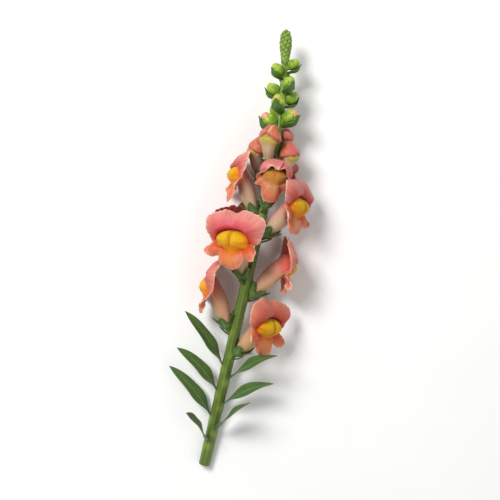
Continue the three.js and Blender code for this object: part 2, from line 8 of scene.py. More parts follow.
# %% Load the frame
import math
import bpy
import numpy as np
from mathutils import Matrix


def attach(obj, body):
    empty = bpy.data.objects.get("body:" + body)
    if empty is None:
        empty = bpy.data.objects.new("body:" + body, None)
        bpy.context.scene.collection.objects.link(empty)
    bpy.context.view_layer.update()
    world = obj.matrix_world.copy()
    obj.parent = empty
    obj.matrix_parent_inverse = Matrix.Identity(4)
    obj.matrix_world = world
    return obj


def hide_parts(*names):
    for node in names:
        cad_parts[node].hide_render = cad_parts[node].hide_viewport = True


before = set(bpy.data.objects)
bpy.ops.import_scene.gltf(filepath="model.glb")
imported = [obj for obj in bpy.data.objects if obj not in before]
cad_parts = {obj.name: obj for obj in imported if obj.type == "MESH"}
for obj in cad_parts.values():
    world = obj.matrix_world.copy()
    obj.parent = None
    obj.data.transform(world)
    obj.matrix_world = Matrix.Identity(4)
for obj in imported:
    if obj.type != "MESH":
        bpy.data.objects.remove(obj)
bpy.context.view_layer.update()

# %% [markdown]
# ## Small tools for curves
# Growth is smooth, so almost every value here eases from one number to the next. A repeatable
# draw gives each flower its own small differences without anything random being left open.

# %% Easing, mixing and drawing
MM = 0.001


def ease(low, high, x):
    """0 before low, 1 after high, and an S-shaped rise between them."""
    t = np.clip((np.asarray(x, float) - low) / (high - low), 0, 1)
    return t * t * (3 - 2 * t)


def mix(a, b, t):
    """The point at t of the straight way from a to b."""
    return a + (b - a) * t


def hump(x, wide):
    """A bell over x: 1 where x is 0, about a third where it is wide, and soon nothing."""
    return np.exp(-((x / wide) ** 2))


def unit(vectors):
    """The same directions, each with length 1."""
    return vectors / np.maximum(np.linalg.norm(vectors, axis=-1, keepdims=True), 1e-9)


def draw(n, kind):
    """A repeatable number between -1 and 1: the broken part of a large sine."""
    wave = np.sin(np.asarray(n, float) * 12.9898 + kind * 78.233) * 43758.5453
    return 2 * (wave - np.floor(wave)) - 1


# %% Smooth lines and ragged lines
def cubic(a, b, slope_a, slope_b, t):
    """The cubic from a to b that leaves with one slope and arrives with the other."""
    square, cube = 3 * (b - a) - 2 * slope_a - slope_b, 2 * (a - b) + slope_a + slope_b
    return a + slope_a * t + square * t**2 + cube * t**3


def through(pairs, x, level=True):
    """A smooth line through [x, value] pairs: cubic pieces whose slopes are the centred ones,
    and which start and end level unless told otherwise."""
    xs, ys = np.array(pairs, float).T
    slopes = np.gradient(ys, xs)
    if level:
        slopes[0] = slopes[-1] = 0
    i = np.clip(np.searchsorted(xs, x, "right") - 1, 0, len(xs) - 2)
    h = xs[i + 1] - xs[i]
    t = np.clip((x - xs[i]) / h, 0, 1)
    return cubic(ys[i], ys[i + 1], slopes[i] * h, slopes[i + 1] * h, t)


def waves(x, seed, counts):
    """A ragged periodic line over degrees x: a few sines with drawn phases, each one weaker."""
    total = 0
    for k, count in enumerate(counts):
        total = total + np.sin(np.radians(x) * count + 3.1 * draw(seed + k, 5)) / (1 + 0.5 * k)
    return total / sum(1 / (1 + 0.5 * k) for k in range(len(counts)))


# %% [markdown]
# ## Small tools for colour
# A petal changes colour from the mouth to its edge. One colour for each point of the mesh, worked
# out from stops along a line and then dyed by masks, can follow the form as no flat paint could.

# %% Colours, stops and dyes
def colour(red, green, blue):
    """A screen colour, 0 to 255, as the linear colour that shaders use."""
    c = np.array([red, green, blue], float) / 255
    return np.where(c <= 0.04045, c / 12.92, ((c + 0.055) / 1.055) ** 2.4)


def shade(stops, x):
    """Colours eased between [x, colour] stops, for an array of x."""
    xs = np.array([s[0] for s in stops])
    cs = np.array([s[1] for s in stops])
    return np.stack([np.interp(x, xs, cs[:, k]) for k in range(3)], -1)


def dye(base, paint, mask):
    """Colours that pass into a paint as far as a mask of the same points says."""
    return mix(base, paint, mask[..., None])


# %% [markdown]
# ## The stem's line
# The stem rises from its cut end onto its lowest flowers and droops a little to the tip. Its
# centre line is a spline through a few points. Everything that grows on the stem is placed by
# its distance from the cut end and the angle round the stem.

# %% The stem's line
CUT_END = np.array([-2.2, -157.0, 0.0])
STEM_LINE = np.array([
    [0, 0, 3.6], [2.0, 45, 8.0], [4.0, 90, 15.2], [6.6, 150, 22.6],
    [8.7, 207, 22.9], [7.8, 255, 23.2], [5.0, 285, 23.5], [1.0, 314, 23.0],
]) + CUT_END
STEM_LENGTH = 316
STEM_RADII = [3.7, 3.7, 3.5, 3.2, 2.5, 1.5]


def spline(t):
    """A centripetal Catmull-Rom line: each span is a cubic whose end slopes are weighed by the
    square roots of the distances between its points; t runs evenly over the spans."""
    before, after = 2 * STEM_LINE[0] - STEM_LINE[1], 2 * STEM_LINE[-1] - STEM_LINE[-2]
    points = np.vstack([before, STEM_LINE, after])
    place = np.clip(np.asarray(t, float), 0, 1) * (len(STEM_LINE) - 1)
    i = np.minimum(place.astype(int), len(STEM_LINE) - 2)
    p0, p1, p2, p3 = (points[i + k] for k in range(4))
    d0, d1, d2 = (np.sqrt(np.linalg.norm(b - a, axis=-1, keepdims=True))
                  for a, b in ((p0, p1), (p1, p2), (p2, p3)))
    s1 = ((p1 - p0) / d0 - (p2 - p0) / (d0 + d1) + (p2 - p1) / d1) * d1
    s2 = ((p2 - p1) / d1 - (p3 - p1) / (d1 + d2) + (p3 - p2) / d2) * d1
    return cubic(p1, p2, s1, s2, (place - i)[..., None])


TABLE_T = np.linspace(0, 1, 201)
TABLE_STEPS = np.linalg.norm(np.diff(spline(TABLE_T), axis=0), axis=1)
TABLE_LONG = np.concatenate([[0], np.cumsum(TABLE_STEPS)])
print("stem line:", round(float(TABLE_LONG[-1]), 1), "mm")


# %% Frames on the stem
def on_stem(distance, turn):
    """Frames on the stem: origins on the line, and axes out (turned from straight up), side and
    tip. distance may be an array; the axes are the rows of the last two dimensions."""
    part = np.clip(np.asarray(distance, float) / STEM_LENGTH, 0, 1)
    t = np.interp(part * TABLE_LONG[-1], TABLE_LONG, TABLE_T)
    tip = unit(spline(np.minimum(t + 1e-4, 1)) - spline(np.maximum(t - 1e-4, 0)))
    above = unit(np.array([0, 0, 1.0]) - tip * tip[..., 2:])
    angle = np.radians(turn)
    out = above * np.cos(angle) + np.cross(tip, above) * np.sin(angle)
    return spline(t), np.stack([out, np.cross(tip, out), tip], axis=-2)


def moved(place, out, up, size=1.0, lean=0.0):
    """A place stepped out and up in its own frame, leant from its tip axis outwards, sized."""
    origin, axes = place
    c, s = math.cos(math.radians(lean)), math.sin(math.radians(lean))
    leant = np.array([[c, 0, -s], [0, 1, 0], [s, 0, c]]) @ axes
    return origin + np.array([out, 0, up]) @ axes, leant * size


def stem_radius(distance):
    """Straight runs between the radii that are given at even steps along the stem."""
    steps = np.linspace(0, 1, len(STEM_RADII))
    return np.interp(np.asarray(distance) / STEM_LENGTH, steps, STEM_RADII)


# %% [markdown]
# ## Closed surfaces from grids
# A petal, a bud or a leaf is one closed skin. Its points form rings, like the lines of latitude
# on a globe, with a single point at either end, so no seam or hole is left. Each point also
# carries its colour and a grain, a position whose first two numbers go round the piece and
# whose third hardly moves along it, so that noise read there makes veins that run lengthwise.

# %% Skins made of rings
def full_turn(sides):
    """Even turns in radians, once round, as a single row."""
    return (np.arange(sides) * 2 * np.pi / sides)[None]


def circles(radius, turn, along):
    """Points on circles, for rings and for grain: radius cos turn, radius sin turn, along."""
    return np.stack(np.broadcast_arrays(radius * np.cos(turn), radius * np.sin(turn), along), -1)


def ring_body(rings, colours, grain, place=None):
    """A skin over rings of points, shaped (rings, sides, 3). The first and last ring are drawn
    together to their mean. The faces are turned outwards by the sign of the volume."""
    count, sides = rings.shape[:2]

    def flat(values):
        """All rings as one list, with the first and the last ring each drawn together."""
        values = np.broadcast_to(values, rings.shape)
        middle = values[1:-1].reshape(-1, 3)
        return np.vstack([values[0].mean(0), middle, values[-1].mean(0)])

    points = flat(rings)
    if place is not None:
        origin, axes = place
        points = origin + points @ axes
    s = np.arange(sides)
    after = (s + 1) % sides
    r = (np.arange(count - 3) * sides)[:, None] + 1
    quads = np.stack([r + s, r + after, r + sides + after, r + sides + s], -1).reshape(-1, 4)
    top = 1 + (count - 3) * sides
    first = np.stack([np.zeros(sides, int), 1 + after, 1 + s], -1)
    last = np.stack([np.full(sides, top + sides), top + s, top + after], -1)
    triangles = np.vstack([first, last])
    corners = np.vstack([triangles, quads[:, [0, 1, 2]], quads[:, [0, 2, 3]]])
    a, b, c = (points[corners[:, k]] for k in range(3))
    if np.einsum("ij,ij->i", a, np.cross(b, c)).sum() < 0:
        quads, triangles = quads[:, ::-1], triangles[:, ::-1]
    return {"points": points, "quads": quads, "triangles": triangles,
            "colours": flat(colours), "grain": flat(grain)}


# %% [markdown]
# ## Hairs
# Palates are furry, and calyces and stem are downy. Hair curves would be lost when the pieces
# are written out, so each hair is a closed spike of four faces that stands in the skin.

# %% Hairs on a skin
HAIR = 0.035


def hairs(body, count, length, seed, low=0):
    """Points of a skin are drawn from its point number low on, and on each stands a three-sided
    spike along the skin's normal, leaning and as long as further draws say."""
    points = body["points"]
    corners = [points[body["quads"][:, k]] for k in range(4)]
    facing = np.cross(corners[2] - corners[0], corners[3] - corners[1])
    normals = np.zeros_like(points)
    for k in range(4):
        np.add.at(normals, body["quads"][:, k], facing)
    i = np.arange(count)
    chosen = low + ((draw(i, seed) * 0.5 + 0.5) * (len(points) - low - 1)).astype(int)
    way = unit(unit(normals[chosen]) + 0.35 * np.stack([draw(i, seed + k) for k in (1, 2, 3)], -1))
    across = unit(np.cross(way, [0.36, 0.48, 0.8]))
    third = np.cross(way, across)
    foot = points[chosen] - 0.1 * way
    turns = np.radians([0, 120, 240])
    ring = [foot + HAIR * (math.cos(a) * across + math.sin(a) * third) for a in turns]
    tip = points[chosen] + way * (length * (0.75 + 0.25 * draw(i, seed + 4)))[:, None]
    sides = np.array([[0, 1, 3], [1, 2, 3], [2, 0, 3], [2, 1, 0]])
    return {"points": np.stack([*ring, tip], 1).reshape(-1, 3),
            "quads": np.zeros((0, 4), int),
            "triangles": (4 * i[:, None, None] + sides).reshape(-1, 3),
            "colours": np.repeat(mix(body["colours"][chosen], 1, 0.15), 4, 0),
            "grain": np.repeat(body["grain"][chosen], 4, 0)}


# %% [markdown]
# ## From skins to a piece
# A piece is one mesh of several skins that sink into one another, as its parts have grown together. It
# rides on the frame, stands for its solid, and takes the tissue it is given.

# %% Pieces
def add_object(name, data):
    """A new object of the scene with this mesh, lamp or camera."""
    made = bpy.data.objects.new(name, data)
    bpy.context.scene.collection.objects.link(made)
    return made


def make_piece(name, bodies, material, slot, *nodes):
    """One mesh of several bodies, in metres, with their colours and grain as attributes."""
    starts = np.cumsum([0] + [len(b["points"]) for b in bodies])
    points = np.vstack([b["points"] for b in bodies]) * MM
    points[:, 2] = np.maximum(points[:, 2], 0)
    quads = np.vstack([b["quads"] + s for b, s in zip(bodies, starts)])
    triangles = np.vstack([b["triangles"] + s for b, s in zip(bodies, starts)])
    loops = np.concatenate([quads.ravel(), triangles.ravel()])
    sizes = np.concatenate([np.full(len(quads), 4), np.full(len(triangles), 3)])
    mesh = bpy.data.meshes.new(name)
    mesh.vertices.add(len(points))
    mesh.vertices.foreach_set("co", points.ravel())
    mesh.loops.add(len(loops))
    mesh.loops.foreach_set("vertex_index", loops.astype(np.int32))
    mesh.polygons.add(len(sizes))
    mesh.polygons.foreach_set("loop_start", (np.cumsum(sizes) - sizes).astype(np.int32))
    mesh.update(calc_edges=True)
    mesh.polygons.foreach_set("use_smooth", np.ones(len(sizes), bool))
    shades = np.vstack([b["colours"] for b in bodies])
    tint = mesh.attributes.new("tint", "FLOAT_COLOR", "POINT")
    tint.data.foreach_set("color", np.column_stack([shades, np.ones(len(shades))]).ravel())
    grain = mesh.attributes.new("grain", "FLOAT_VECTOR", "POINT")
    grain.data.foreach_set("vector", np.vstack([b["grain"] for b in bodies]).ravel())
    mesh.validate()
    mesh.materials.append(material)
    piece = add_object(name, mesh)
    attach(piece, "root")
    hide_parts(*nodes)
    print(name, "-", int(len(quads) * 2 + len(triangles)), "triangles")


# %% [markdown]
# ## Plant tissue
# Petals are matt and a little velvety, let some light through, and show fine veins. Leaves are
# firmer and glossier. One recipe serves both: the piece's own colours, darkened by veins that
# follow its grain, mottled by fine noise, with the veins and cells raised by a bump. The
# numbers that differ are set straight on the shader.

# %% Nodes and links
def add_node(tree, kind, **values):
    """A new shader node. A value goes to the setting of that name or else to the input, in whose
    name an underline stands for a space."""
    made = tree.nodes.new(kind)
    for key, value in values.items():
        if hasattr(made, key):
            setattr(made, key, value)
        else:
            made.inputs[key.replace("_", " ")].default_value = value
    return made


# %% A recipe for plant tissue
def tissue(name, vein, vein_share=0.35, vein_scale=1.3, rough=0.5, translucent=0.15, velvet=0.1,
           bump=0.35, mottle=0.12, shine=0.4):
    """Principled tissue: colour = tint, mixed towards vein where a stretched noise has thin
    ridges, times a fine mottle; height = veins plus cells."""
    material = bpy.data.materials.new(name)
    material.use_nodes = True
    tree = material.node_tree
    link = tree.links.new
    shader = tree.nodes["Principled BSDF"]
    tint = add_node(tree, "ShaderNodeAttribute", attribute_name="tint")
    grain = add_node(tree, "ShaderNodeAttribute", attribute_name="grain")
    place = add_node(tree, "ShaderNodeTexCoord")
    streaks = add_node(tree, "ShaderNodeTexNoise", Scale=vein_scale, Detail=4.0, Roughness=0.6)
    link(grain.outputs["Vector"], streaks.inputs["Vector"])
    ridge = add_node(tree, "ShaderNodeValToRGB")
    ridge.color_ramp.elements[0].position = 0.5
    ridge.color_ramp.elements[1].position = 0.66
    link(streaks.outputs["Fac"], ridge.inputs["Fac"])
    share = add_node(tree, "ShaderNodeMath", operation="MULTIPLY")
    share.inputs[1].default_value = vein_share
    link(ridge.outputs["Color"], share.inputs[0])
    veined = add_node(tree, "ShaderNodeMix", data_type="RGBA")
    link(share.outputs[0], veined.inputs["Factor"])
    link(tint.outputs["Color"], veined.inputs[6])
    veined.inputs[7].default_value = (*vein, 1)
    cells = add_node(tree, "ShaderNodeTexNoise", Scale=900.0, Detail=5.0, Roughness=0.65)
    link(place.outputs["Object"], cells.inputs["Vector"])
    spread = add_node(tree, "ShaderNodeMapRange", From_Min=0.3, From_Max=0.7,
                      To_Min=1 - mottle, To_Max=1 + mottle)
    link(cells.outputs["Fac"], spread.inputs["Value"])
    mottled = add_node(tree, "ShaderNodeMix", data_type="RGBA", blend_type="MULTIPLY", Factor=1)
    link(veined.outputs[2], mottled.inputs[6])
    link(spread.outputs["Result"], mottled.inputs[7])
    link(mottled.outputs[2], shader.inputs["Base Color"])
    gloss = add_node(tree, "ShaderNodeMapRange", To_Min=rough - 0.08, To_Max=rough + 0.08)
    link(cells.outputs["Fac"], gloss.inputs["Value"])
    link(gloss.outputs["Result"], shader.inputs["Roughness"])
    height = add_node(tree, "ShaderNodeMath", operation="ADD")
    link(streaks.outputs["Fac"], height.inputs[0])
    link(cells.outputs["Fac"], height.inputs[1])
    relief = add_node(tree, "ShaderNodeBump", Strength=bump, Distance=0.0003)
    link(height.outputs[0], relief.inputs["Height"])
    link(relief.outputs["Normal"], shader.inputs["Normal"])
    plain = {"Subsurface Weight": translucent, "Subsurface Radius": (1.0, 0.45, 0.3),
             "Subsurface Scale": 0.0012, "Sheen Weight": velvet, "Sheen Roughness": 0.4,
             "Specular IOR Level": shine}
    for socket, value in plain.items():
        shader.inputs[socket].default_value = value
    return material


# %% The five tissues
PETAL = tissue("petal_tissue", colour(186, 52, 66), vein_share=0.4, vein_scale=1.5)
PALATE = tissue("palate_tissue", colour(208, 120, 14), vein_share=0.3, vein_scale=2.6, rough=0.6,
                velvet=0.04, bump=0.6, shine=0.15)
BUD = tissue("bud_tissue", colour(160, 62, 60), vein_scale=1.4, rough=0.46)
GREEN = tissue("green_tissue", colour(70, 104, 34), rough=0.42, translucent=0.1, velvet=0.05,
               bump=0.4, mottle=0.14)
LEAF = tissue("leaf_tissue", colour(44, 66, 26), vein_share=0.45, rough=0.42, translucent=0.08,
              velvet=0.05, bump=0.5, mottle=0.16)
print("materials:", [m.name for m in (PETAL, PALATE, BUD, GREEN, LEAF)])

# %% [markdown]
# ## The numbers of the flowers
# A kind of flower is a few numbers. mouth_at and tilt place its face, pull curves its tube, wide
# and tall are half the rim of its mouth. reach gives the petals' length in mm at degrees from the
# top. A lip is three headings, in degrees from straight ahead, and the parts of the reach between
# which it folds from the first to the second; corner is where one lip passes into the other. palate
# is height, sag and depth of groove; calyx is length and the rise of its lobes at foot and tip.
# A closed bud has a head instead: half its width, height and depth, and how far back it sits.

# %% Kinds of flower
CALYX_AT = [6.9, 4.0]
TUBE_RISE = math.radians(62)
TUBE_WIDE = [3.4, 6.2, 8.8]
TUBE_TALL = [3.4, 5.6, 6.6]
SHEET = 0.7
GAP = 0.3
OPEN_FLOWER = {
    "mouth_at": [22, 28], "tilt": 6, "pull": 14, "wide": 13, "tall": 7, "frill": 1.1,
    "reach": [
        [0, 16.5], [12, 19.5], [30, 21.5], [44, 23], [54, 24], [64, 19], [76, 14.5], [90, 11],
        [106, 5.5], [124, 14], [138, 13], [148, 8], [160, 14], [180, 16],
    ],
    "upper": ([4, 94, 140], [0.2, 0.42]), "lower": ([38, 80, 140], [0.12, 0.5]),
    "corner": [88, 110], "palate": (8.5, 1.6, 0.3), "calyx": (9.4, [80, 46]),
}
HALF_FLOWER = {
    "mouth_at": [15.5, 25], "tilt": 48, "pull": 14, "wide": 9.4, "tall": 7, "frill": 0.35,
    "reach": [
        [0, 18], [12, 20], [30, 21], [52, 20], [72, 16], [94, 7],
        [108, 4.5], [124, 6.5], [138, 6], [148, 4], [160, 7], [180, 7.5],
    ],
    "upper": ([14, -22, -130], [0.15, 0.5]), "lower": ([35, 105, 155], [0.1, 0.5]),
    "corner": [82, 106], "palate": (5, 1.5, 0.12), "calyx": (8.4, [82, 58]),
}
HOODED_FLOWER = {
    "mouth_at": [17, 24], "tilt": 20, "pull": 12, "wide": 9.4, "tall": 7, "frill": 0.35,
    "reach": [
        [0, 18.5], [12, 19], [30, 19], [50, 18], [72, 16], [90, 12.5],
        [104, 7.5], [115, 5], [127, 8.5], [140, 6], [152, 7], [165, 15], [180, 16.5],
    ],
    "upper": ([34, -40, -108], [0.18, 0.5]), "beside": [30, -16, -86],
    "lower": ([15, 118, 152], [0.05, 0.36]),
    "corner": [102, 118], "palate": (6.3, 1.8, 0.06), "calyx": (8.4, [82, 58]),
}
CLOSED_BUD = {
    "mouth_at": [15, 19], "tilt": 20, "pull": 8, "head": (6.2, 7.4, 5.8, 3), "calyx": (6.8, [88, 76]),
}
LATE_BUD = {
    "mouth_at": [17, 26], "tilt": 16, "pull": 12, "head": (7.8, 9.6, 6.8, 4), "calyx": (7.6, [86, 70]),
}

# %% Every flower: name, distance along the stem, turn round it, lean, size and kind
FLOWERS = [
    ("flower_1", 83, 54, -6, 1.0, OPEN_FLOWER),
    ("flower_2", 99, -89, 0, 1.0, OPEN_FLOWER),
    ("flower_3", 125, 100, 4, 1.0, OPEN_FLOWER),
    ("flower_4", 137, -30, 8, 1.0, OPEN_FLOWER),
    ("flower_5", 147, -128, -8, 0.86, OPEN_FLOWER),
    ("flower_6", 168, 64, -4, 0.98, OPEN_FLOWER),
    ("flower_7", 181, -80, 4, 0.94, OPEN_FLOWER),
    ("half_open_1", 188, 8, 0, 0.98, HOODED_FLOWER),
    ("half_open_2", 196, 162, 0, 0.98, HALF_FLOWER),
]
COLOURED_BUDS = [
    ("coloured_bud_1", 206, -92, 0, 0.92, LATE_BUD),
    ("coloured_bud_2", 209, 74, 0, 0.82, LATE_BUD),
    ("coloured_bud_3", 216, -26, 0, 0.88, LATE_BUD),
    ("coloured_bud_4", 229, -155, 0, 0.8, CLOSED_BUD),
    ("coloured_bud_5", 229, 130, 0, 0.7, CLOSED_BUD),
]
print("flowers:", len(FLOWERS), "coloured buds:", len(COLOURED_BUDS))

# %% Places in a flower
TUBE_FOOT = np.array([CALYX_AT[0], 0, CALYX_AT[1]])
TUBE_START = np.array([math.cos(TUBE_RISE), 0, math.sin(TUBE_RISE)])
CALYX_PLACE = (TUBE_FOOT, np.array([[TUBE_START[2], 0, -TUBE_START[0]], [0, 1, 0], TUBE_START]))


def place_of(flower):
    """The flower's frame: on the stem, leant about its outward axis, and sized."""
    _, distance, turn, lean, size, _ = flower
    origin, axes = on_stem(distance, turn)
    c, s = math.cos(math.radians(lean)), math.sin(math.radians(lean))
    return origin, np.array([[1, 0, 0], [0, c, s], [0, -s, c]]) @ axes * size


def from_top_of(angle):
    """Degrees from the top of the face, alike on its two sides."""
    return np.where(angle <= 180, angle, 360 - angle)


def on_face(kind, sideways, up, ahead):
    """A point of the face: the mouth's centre plus steps sideways, up the face and ahead."""
    tilt = math.radians(kind["tilt"])
    x = kind["mouth_at"][0] - math.sin(tilt) * up + math.cos(tilt) * ahead
    z = kind["mouth_at"][1] + math.cos(tilt) * up + math.sin(tilt) * ahead
    return np.stack(np.broadcast_arrays(x, sideways, z), -1)


# %% [markdown]
# ## The tube
# Below its face the flower is a curved tube that widens to an oval mouth. A curve with one
# control point carries ovals along it, as a real tube grows on from its foot.

# %% Points and sizes of the tube
def on_tube(kind, t, turn, wide, tall):
    """A point of the tube: an oval round a curve from the calyx to the mouth; its upward
    direction turns into the face's as it comes near the mouth."""
    t = np.asarray(t, float)[..., None]
    mouth = np.array([kind["mouth_at"][0], 0, kind["mouth_at"][1]])
    bend = TUBE_FOOT + TUBE_START * kind["pull"]
    line = (1 - t) ** 2 * TUBE_FOOT + 2 * t * (1 - t) * bend + t**2 * mouth
    tangent = unit(2 * (1 - t) * (bend - TUBE_FOOT) + 2 * t * (mouth - bend))
    upward = np.stack([-tangent[..., 2], 0 * tangent[..., 0], tangent[..., 0]], -1)
    tilt = math.radians(kind["tilt"])
    upward = unit(mix(upward, np.array([-math.sin(tilt), 0, math.cos(tilt)]), ease(0.4, 1, t)))
    across = np.array([0, 1.0, 0])
    return line + upward * (np.cos(turn) * tall)[..., None] + across * (np.sin(turn) * wide)[..., None]


def tube_size(kind, t):
    """Half width and half height of the tube: smooth lines to the mouth's rim."""
    at, rim = [0, 0.37, 0.69, 1], SHEET / 2
    narrow = mix(1, kind["wide"] / OPEN_FLOWER["wide"], 0.59)
    wide = [TUBE_WIDE[0], TUBE_WIDE[1], TUBE_WIDE[2] * narrow, kind["wide"] + rim]
    tall = [*TUBE_TALL, kind["tall"] + rim]
    return through(list(zip(at, wide)), t, level=False), through(list(zip(at, tall)), t, level=False)


# %% [markdown]
# ## The petals
# A snapdragon has two lips. The upper one stands up in two broad lobes and rolls back, the lower
# one has three lobes that turn under. The real petal grows out of the rim of the tube, so the
# surface is made the same way: from an oval rim, each direction goes outwards along a line whose
# heading turns as it goes. A real petal is thin at its edge, ruffled there, and ragged where two
# lobes meet, so the reach is uneven, a ruffle grows towards the edge, and the thickness falls.

# %% The middle of the petals' sheet
NOTCH = {"at": 27, "wide": 6, "deep": 0.42}
SIDE_LOBE = {"at": 122, "wide": 13, "curl": 130}
ROLL = 26
STEPS = 24


def petal_reach(kind, angle, part, seed):
    """How far the sheet goes at an angle: the kind's reach, made ragged, with drawn nicks in its
    edge, and in a hood with one deep notch."""
    ragged = 0.035 * waves(angle, seed, [9, 17, 31, 53]) + 0.03 * waves(angle, seed + 9, [2, 3])
    nicks = 0.05 * hump(waves(angle, seed + 4, [7, 13]), 0.09) * part**6
    reach = np.maximum(through(kind["reach"], from_top_of(angle)), 1) * (1 + ragged * part**2 - nicks)
    if kind is HOODED_FLOWER:
        reach = reach * (1 - NOTCH["deep"] * hump(angle - NOTCH["at"], NOTCH["wide"]) * part**2)
    return reach


def heading(lip, aside, beside, x):
    """Degrees from straight ahead at x of the reach: eased from the first to the second over the
    fold, then evenly to the third. Beside the middle the three numbers pass into aside."""
    turns, fold = lip
    first, second, third = (mix(p, q, beside) for p, q in zip(turns, aside))
    folding = mix(first, second, ease(fold[0], fold[1], x))
    return mix(folding, third, np.maximum(0, (x - fold[1]) / (1 - fold[1])))


def petal_sheet(kind, angle, part, seed):
    """The middle of the sheet at an angle from the top and a part of the reach: the running sum of
    its heading, which blends from the upper to the lower lip at the corners. Open lips also roll
    unevenly, and the lower lip's side lobes curl at their ends."""
    from_top = from_top_of(angle)
    sign = np.where(angle <= 180, 1, -1)
    reach = petal_reach(kind, angle, part, seed) * part
    x = (np.arange(STEPS) + 0.5) / STEPS * part[..., None]
    beside = ease(25, 75, from_top)[..., None]
    upper = heading(kind["upper"], kind.get("beside", kind["upper"][0]), beside, x)
    lower = heading(kind["lower"], kind["lower"][0], beside, x)
    if kind is OPEN_FLOWER:
        at_side = hump(from_top - SIDE_LOBE["at"], SIDE_LOBE["wide"])[..., None]
        roll = ROLL * waves(angle, seed + 12, [1, 3, 5])[..., None] * ease(0.35, 1, x)
        upper = upper + roll
        lower = lower - SIDE_LOBE["curl"] * ease(0.7, 1, x) * at_side + 0.6 * roll
    turn = np.radians(mix(upper, lower, ease(*kind["corner"], from_top)[..., None]))
    outward = np.sin(turn).sum(-1) * reach / STEPS
    ahead = np.cos(turn).sum(-1) * reach / STEPS
    a = np.radians(from_top)
    sideways = sign * np.sin(a) * (kind["wide"] + outward)
    return on_face(kind, sideways, np.cos(a) * (kind["tall"] + outward), ahead)


# %% A corolla, from its foot to its throat
SIDES = 240
TUBE_RINGS, LIP_RINGS = 26, 34
EDGE_SHARE = 0.4
REST = 0.2


def laid_down(points, place):
    """Points of a flower where the petals give way to the floor: their height over it is replaced
    by a smooth curve that follows the height when it is large and never falls below REST."""
    origin, axes = place
    lying = origin + points @ axes
    over = lying[..., 2] - REST
    lying[..., 2] = REST + (over + np.sqrt(over**2 + 0.25)) / 2
    return (lying - origin) @ np.linalg.inv(axes)


def ruffled(kind, sheet, angle, part, seed):
    """The sheet moved along its normals by waves that grow towards its edge, and its normals."""
    around = np.roll(sheet, -1, 1) - np.roll(sheet, 1, 1)
    normal = unit(np.cross(around, np.gradient(sheet, axis=0)))
    ruffle = waves(angle, seed + 20, [5, 9, 13]) + 0.2 * waves(angle, seed + 30, [37, 61])
    return sheet + normal * (kind["frill"] * ease(0.35, 1, part) * ruffle)[..., None], normal


def corolla(flower, seed):
    """Tube, back of the petals, their edge, their front and the closed throat, ring by ring. The
    sheet thins to EDGE_SHARE of itself at its edge."""
    kind = flower[5]
    place = place_of(flower)
    angle = np.arange(SIDES) * 360 / SIDES
    tube_t = np.arange(TUBE_RINGS) / TUBE_RINGS
    part = np.linspace(0, 1, LIP_RINGS)
    grid = np.broadcast_arrays(angle[None], part[:, None])
    sheet, normal = ruffled(kind, petal_sheet(kind, *grid, seed), *grid, seed)
    sheet = laid_down(sheet, place)
    thick = (SHEET * mix(1, EDGE_SHARE, ease(0.2, 1, grid[1])) / 2)[..., None]
    back, front = sheet - normal * thick, sheet + normal * thick
    wide, tall = tube_size(kind, tube_t)
    shape = [tube_t[:, None], np.radians(angle)[None], wide[:, None], tall[:, None]]
    tube = on_tube(kind, *np.broadcast_arrays(*shape))
    throat = np.broadcast_to(on_face(kind, 0, 0, 0), (1, SIDES, 3))
    foot = np.broadcast_to(TUBE_FOOT, (1, SIDES, 3))
    rings = np.concatenate([foot, tube, back, front[::-1], throat])
    outside = back_shades(kind, *grid)
    inside = front_shades(kind, *grid, seed)[::-1]
    below = tube_shades(tube_t[:, None], angle[None])
    below = mix(below, outside[:1], ease(0.72, 1, tube_t)[:, None, None])
    colours = np.concatenate([below[:1], below, outside, inside, inside[-1:]])
    run = np.concatenate([[0], tube_t * 0.9, 0.9 + part, 1.9 + part, [2.9]])[:, None]
    grain = circles(9, np.radians(angle)[None], run * 0.55 + seed)
    return ring_body(rings, colours, grain, place)


# %% [markdown]
# ## The petals' colours
# Salmon pink at the lips, a magenta fold, coral and orange round the mouth, a pale thin edge,
# and a cream tube with mauve veins. The lower flowers are riper and more orange. The colours
# are laid by the same two numbers as the shape, the angle and the way out from the rim.

# %% The colours by name
PALE = colour(234, 184, 170)
PINK_EDGE = colour(212, 138, 124)
SALMON = colour(200, 98, 80)
BLUSH = colour(208, 94, 104)
MAGENTA = colour(196, 62, 84)
CORAL = colour(168, 42, 24)
EMBER = colour(178, 58, 30)
ORANGE = colour(216, 98, 34)
APRICOT = colour(200, 116, 30)
PEACH = colour(208, 124, 66)
CREAM = colour(206, 184, 146)
MAUVE = colour(200, 148, 134)
RUST = colour(168, 74, 48)
YELLOW = colour(212, 168, 5)
AMBER = colour(224, 134, 24)
TAN = colour(182, 126, 58)
OLIVE = colour(172, 148, 58)
RIPE = {"flower_1": 1.0, "flower_2": 0.7, "flower_3": 0.55}
HARDLY_RIPE = 0.1
RIPENED = np.array([1.0, 0.92, 0.68])


# %% Colours of the outside
def tube_shades(t, angle):
    """Cream below and mauve above, warming towards the mouth."""
    above = 0.5 + 0.5 * np.cos(np.radians(angle))
    low = shade([(0, CREAM), (0.6, CREAM), (1, mix(SALMON, CREAM, 0.5))], t + 0 * angle)
    high = shade([(0, mix(CREAM, MAUVE, 0.5)), (0.45, MAUVE), (0.8, mix(MAUVE, BLUSH, 0.3)),
                  (1, SALMON)], t + 0 * angle)
    return dye(low, high, above)


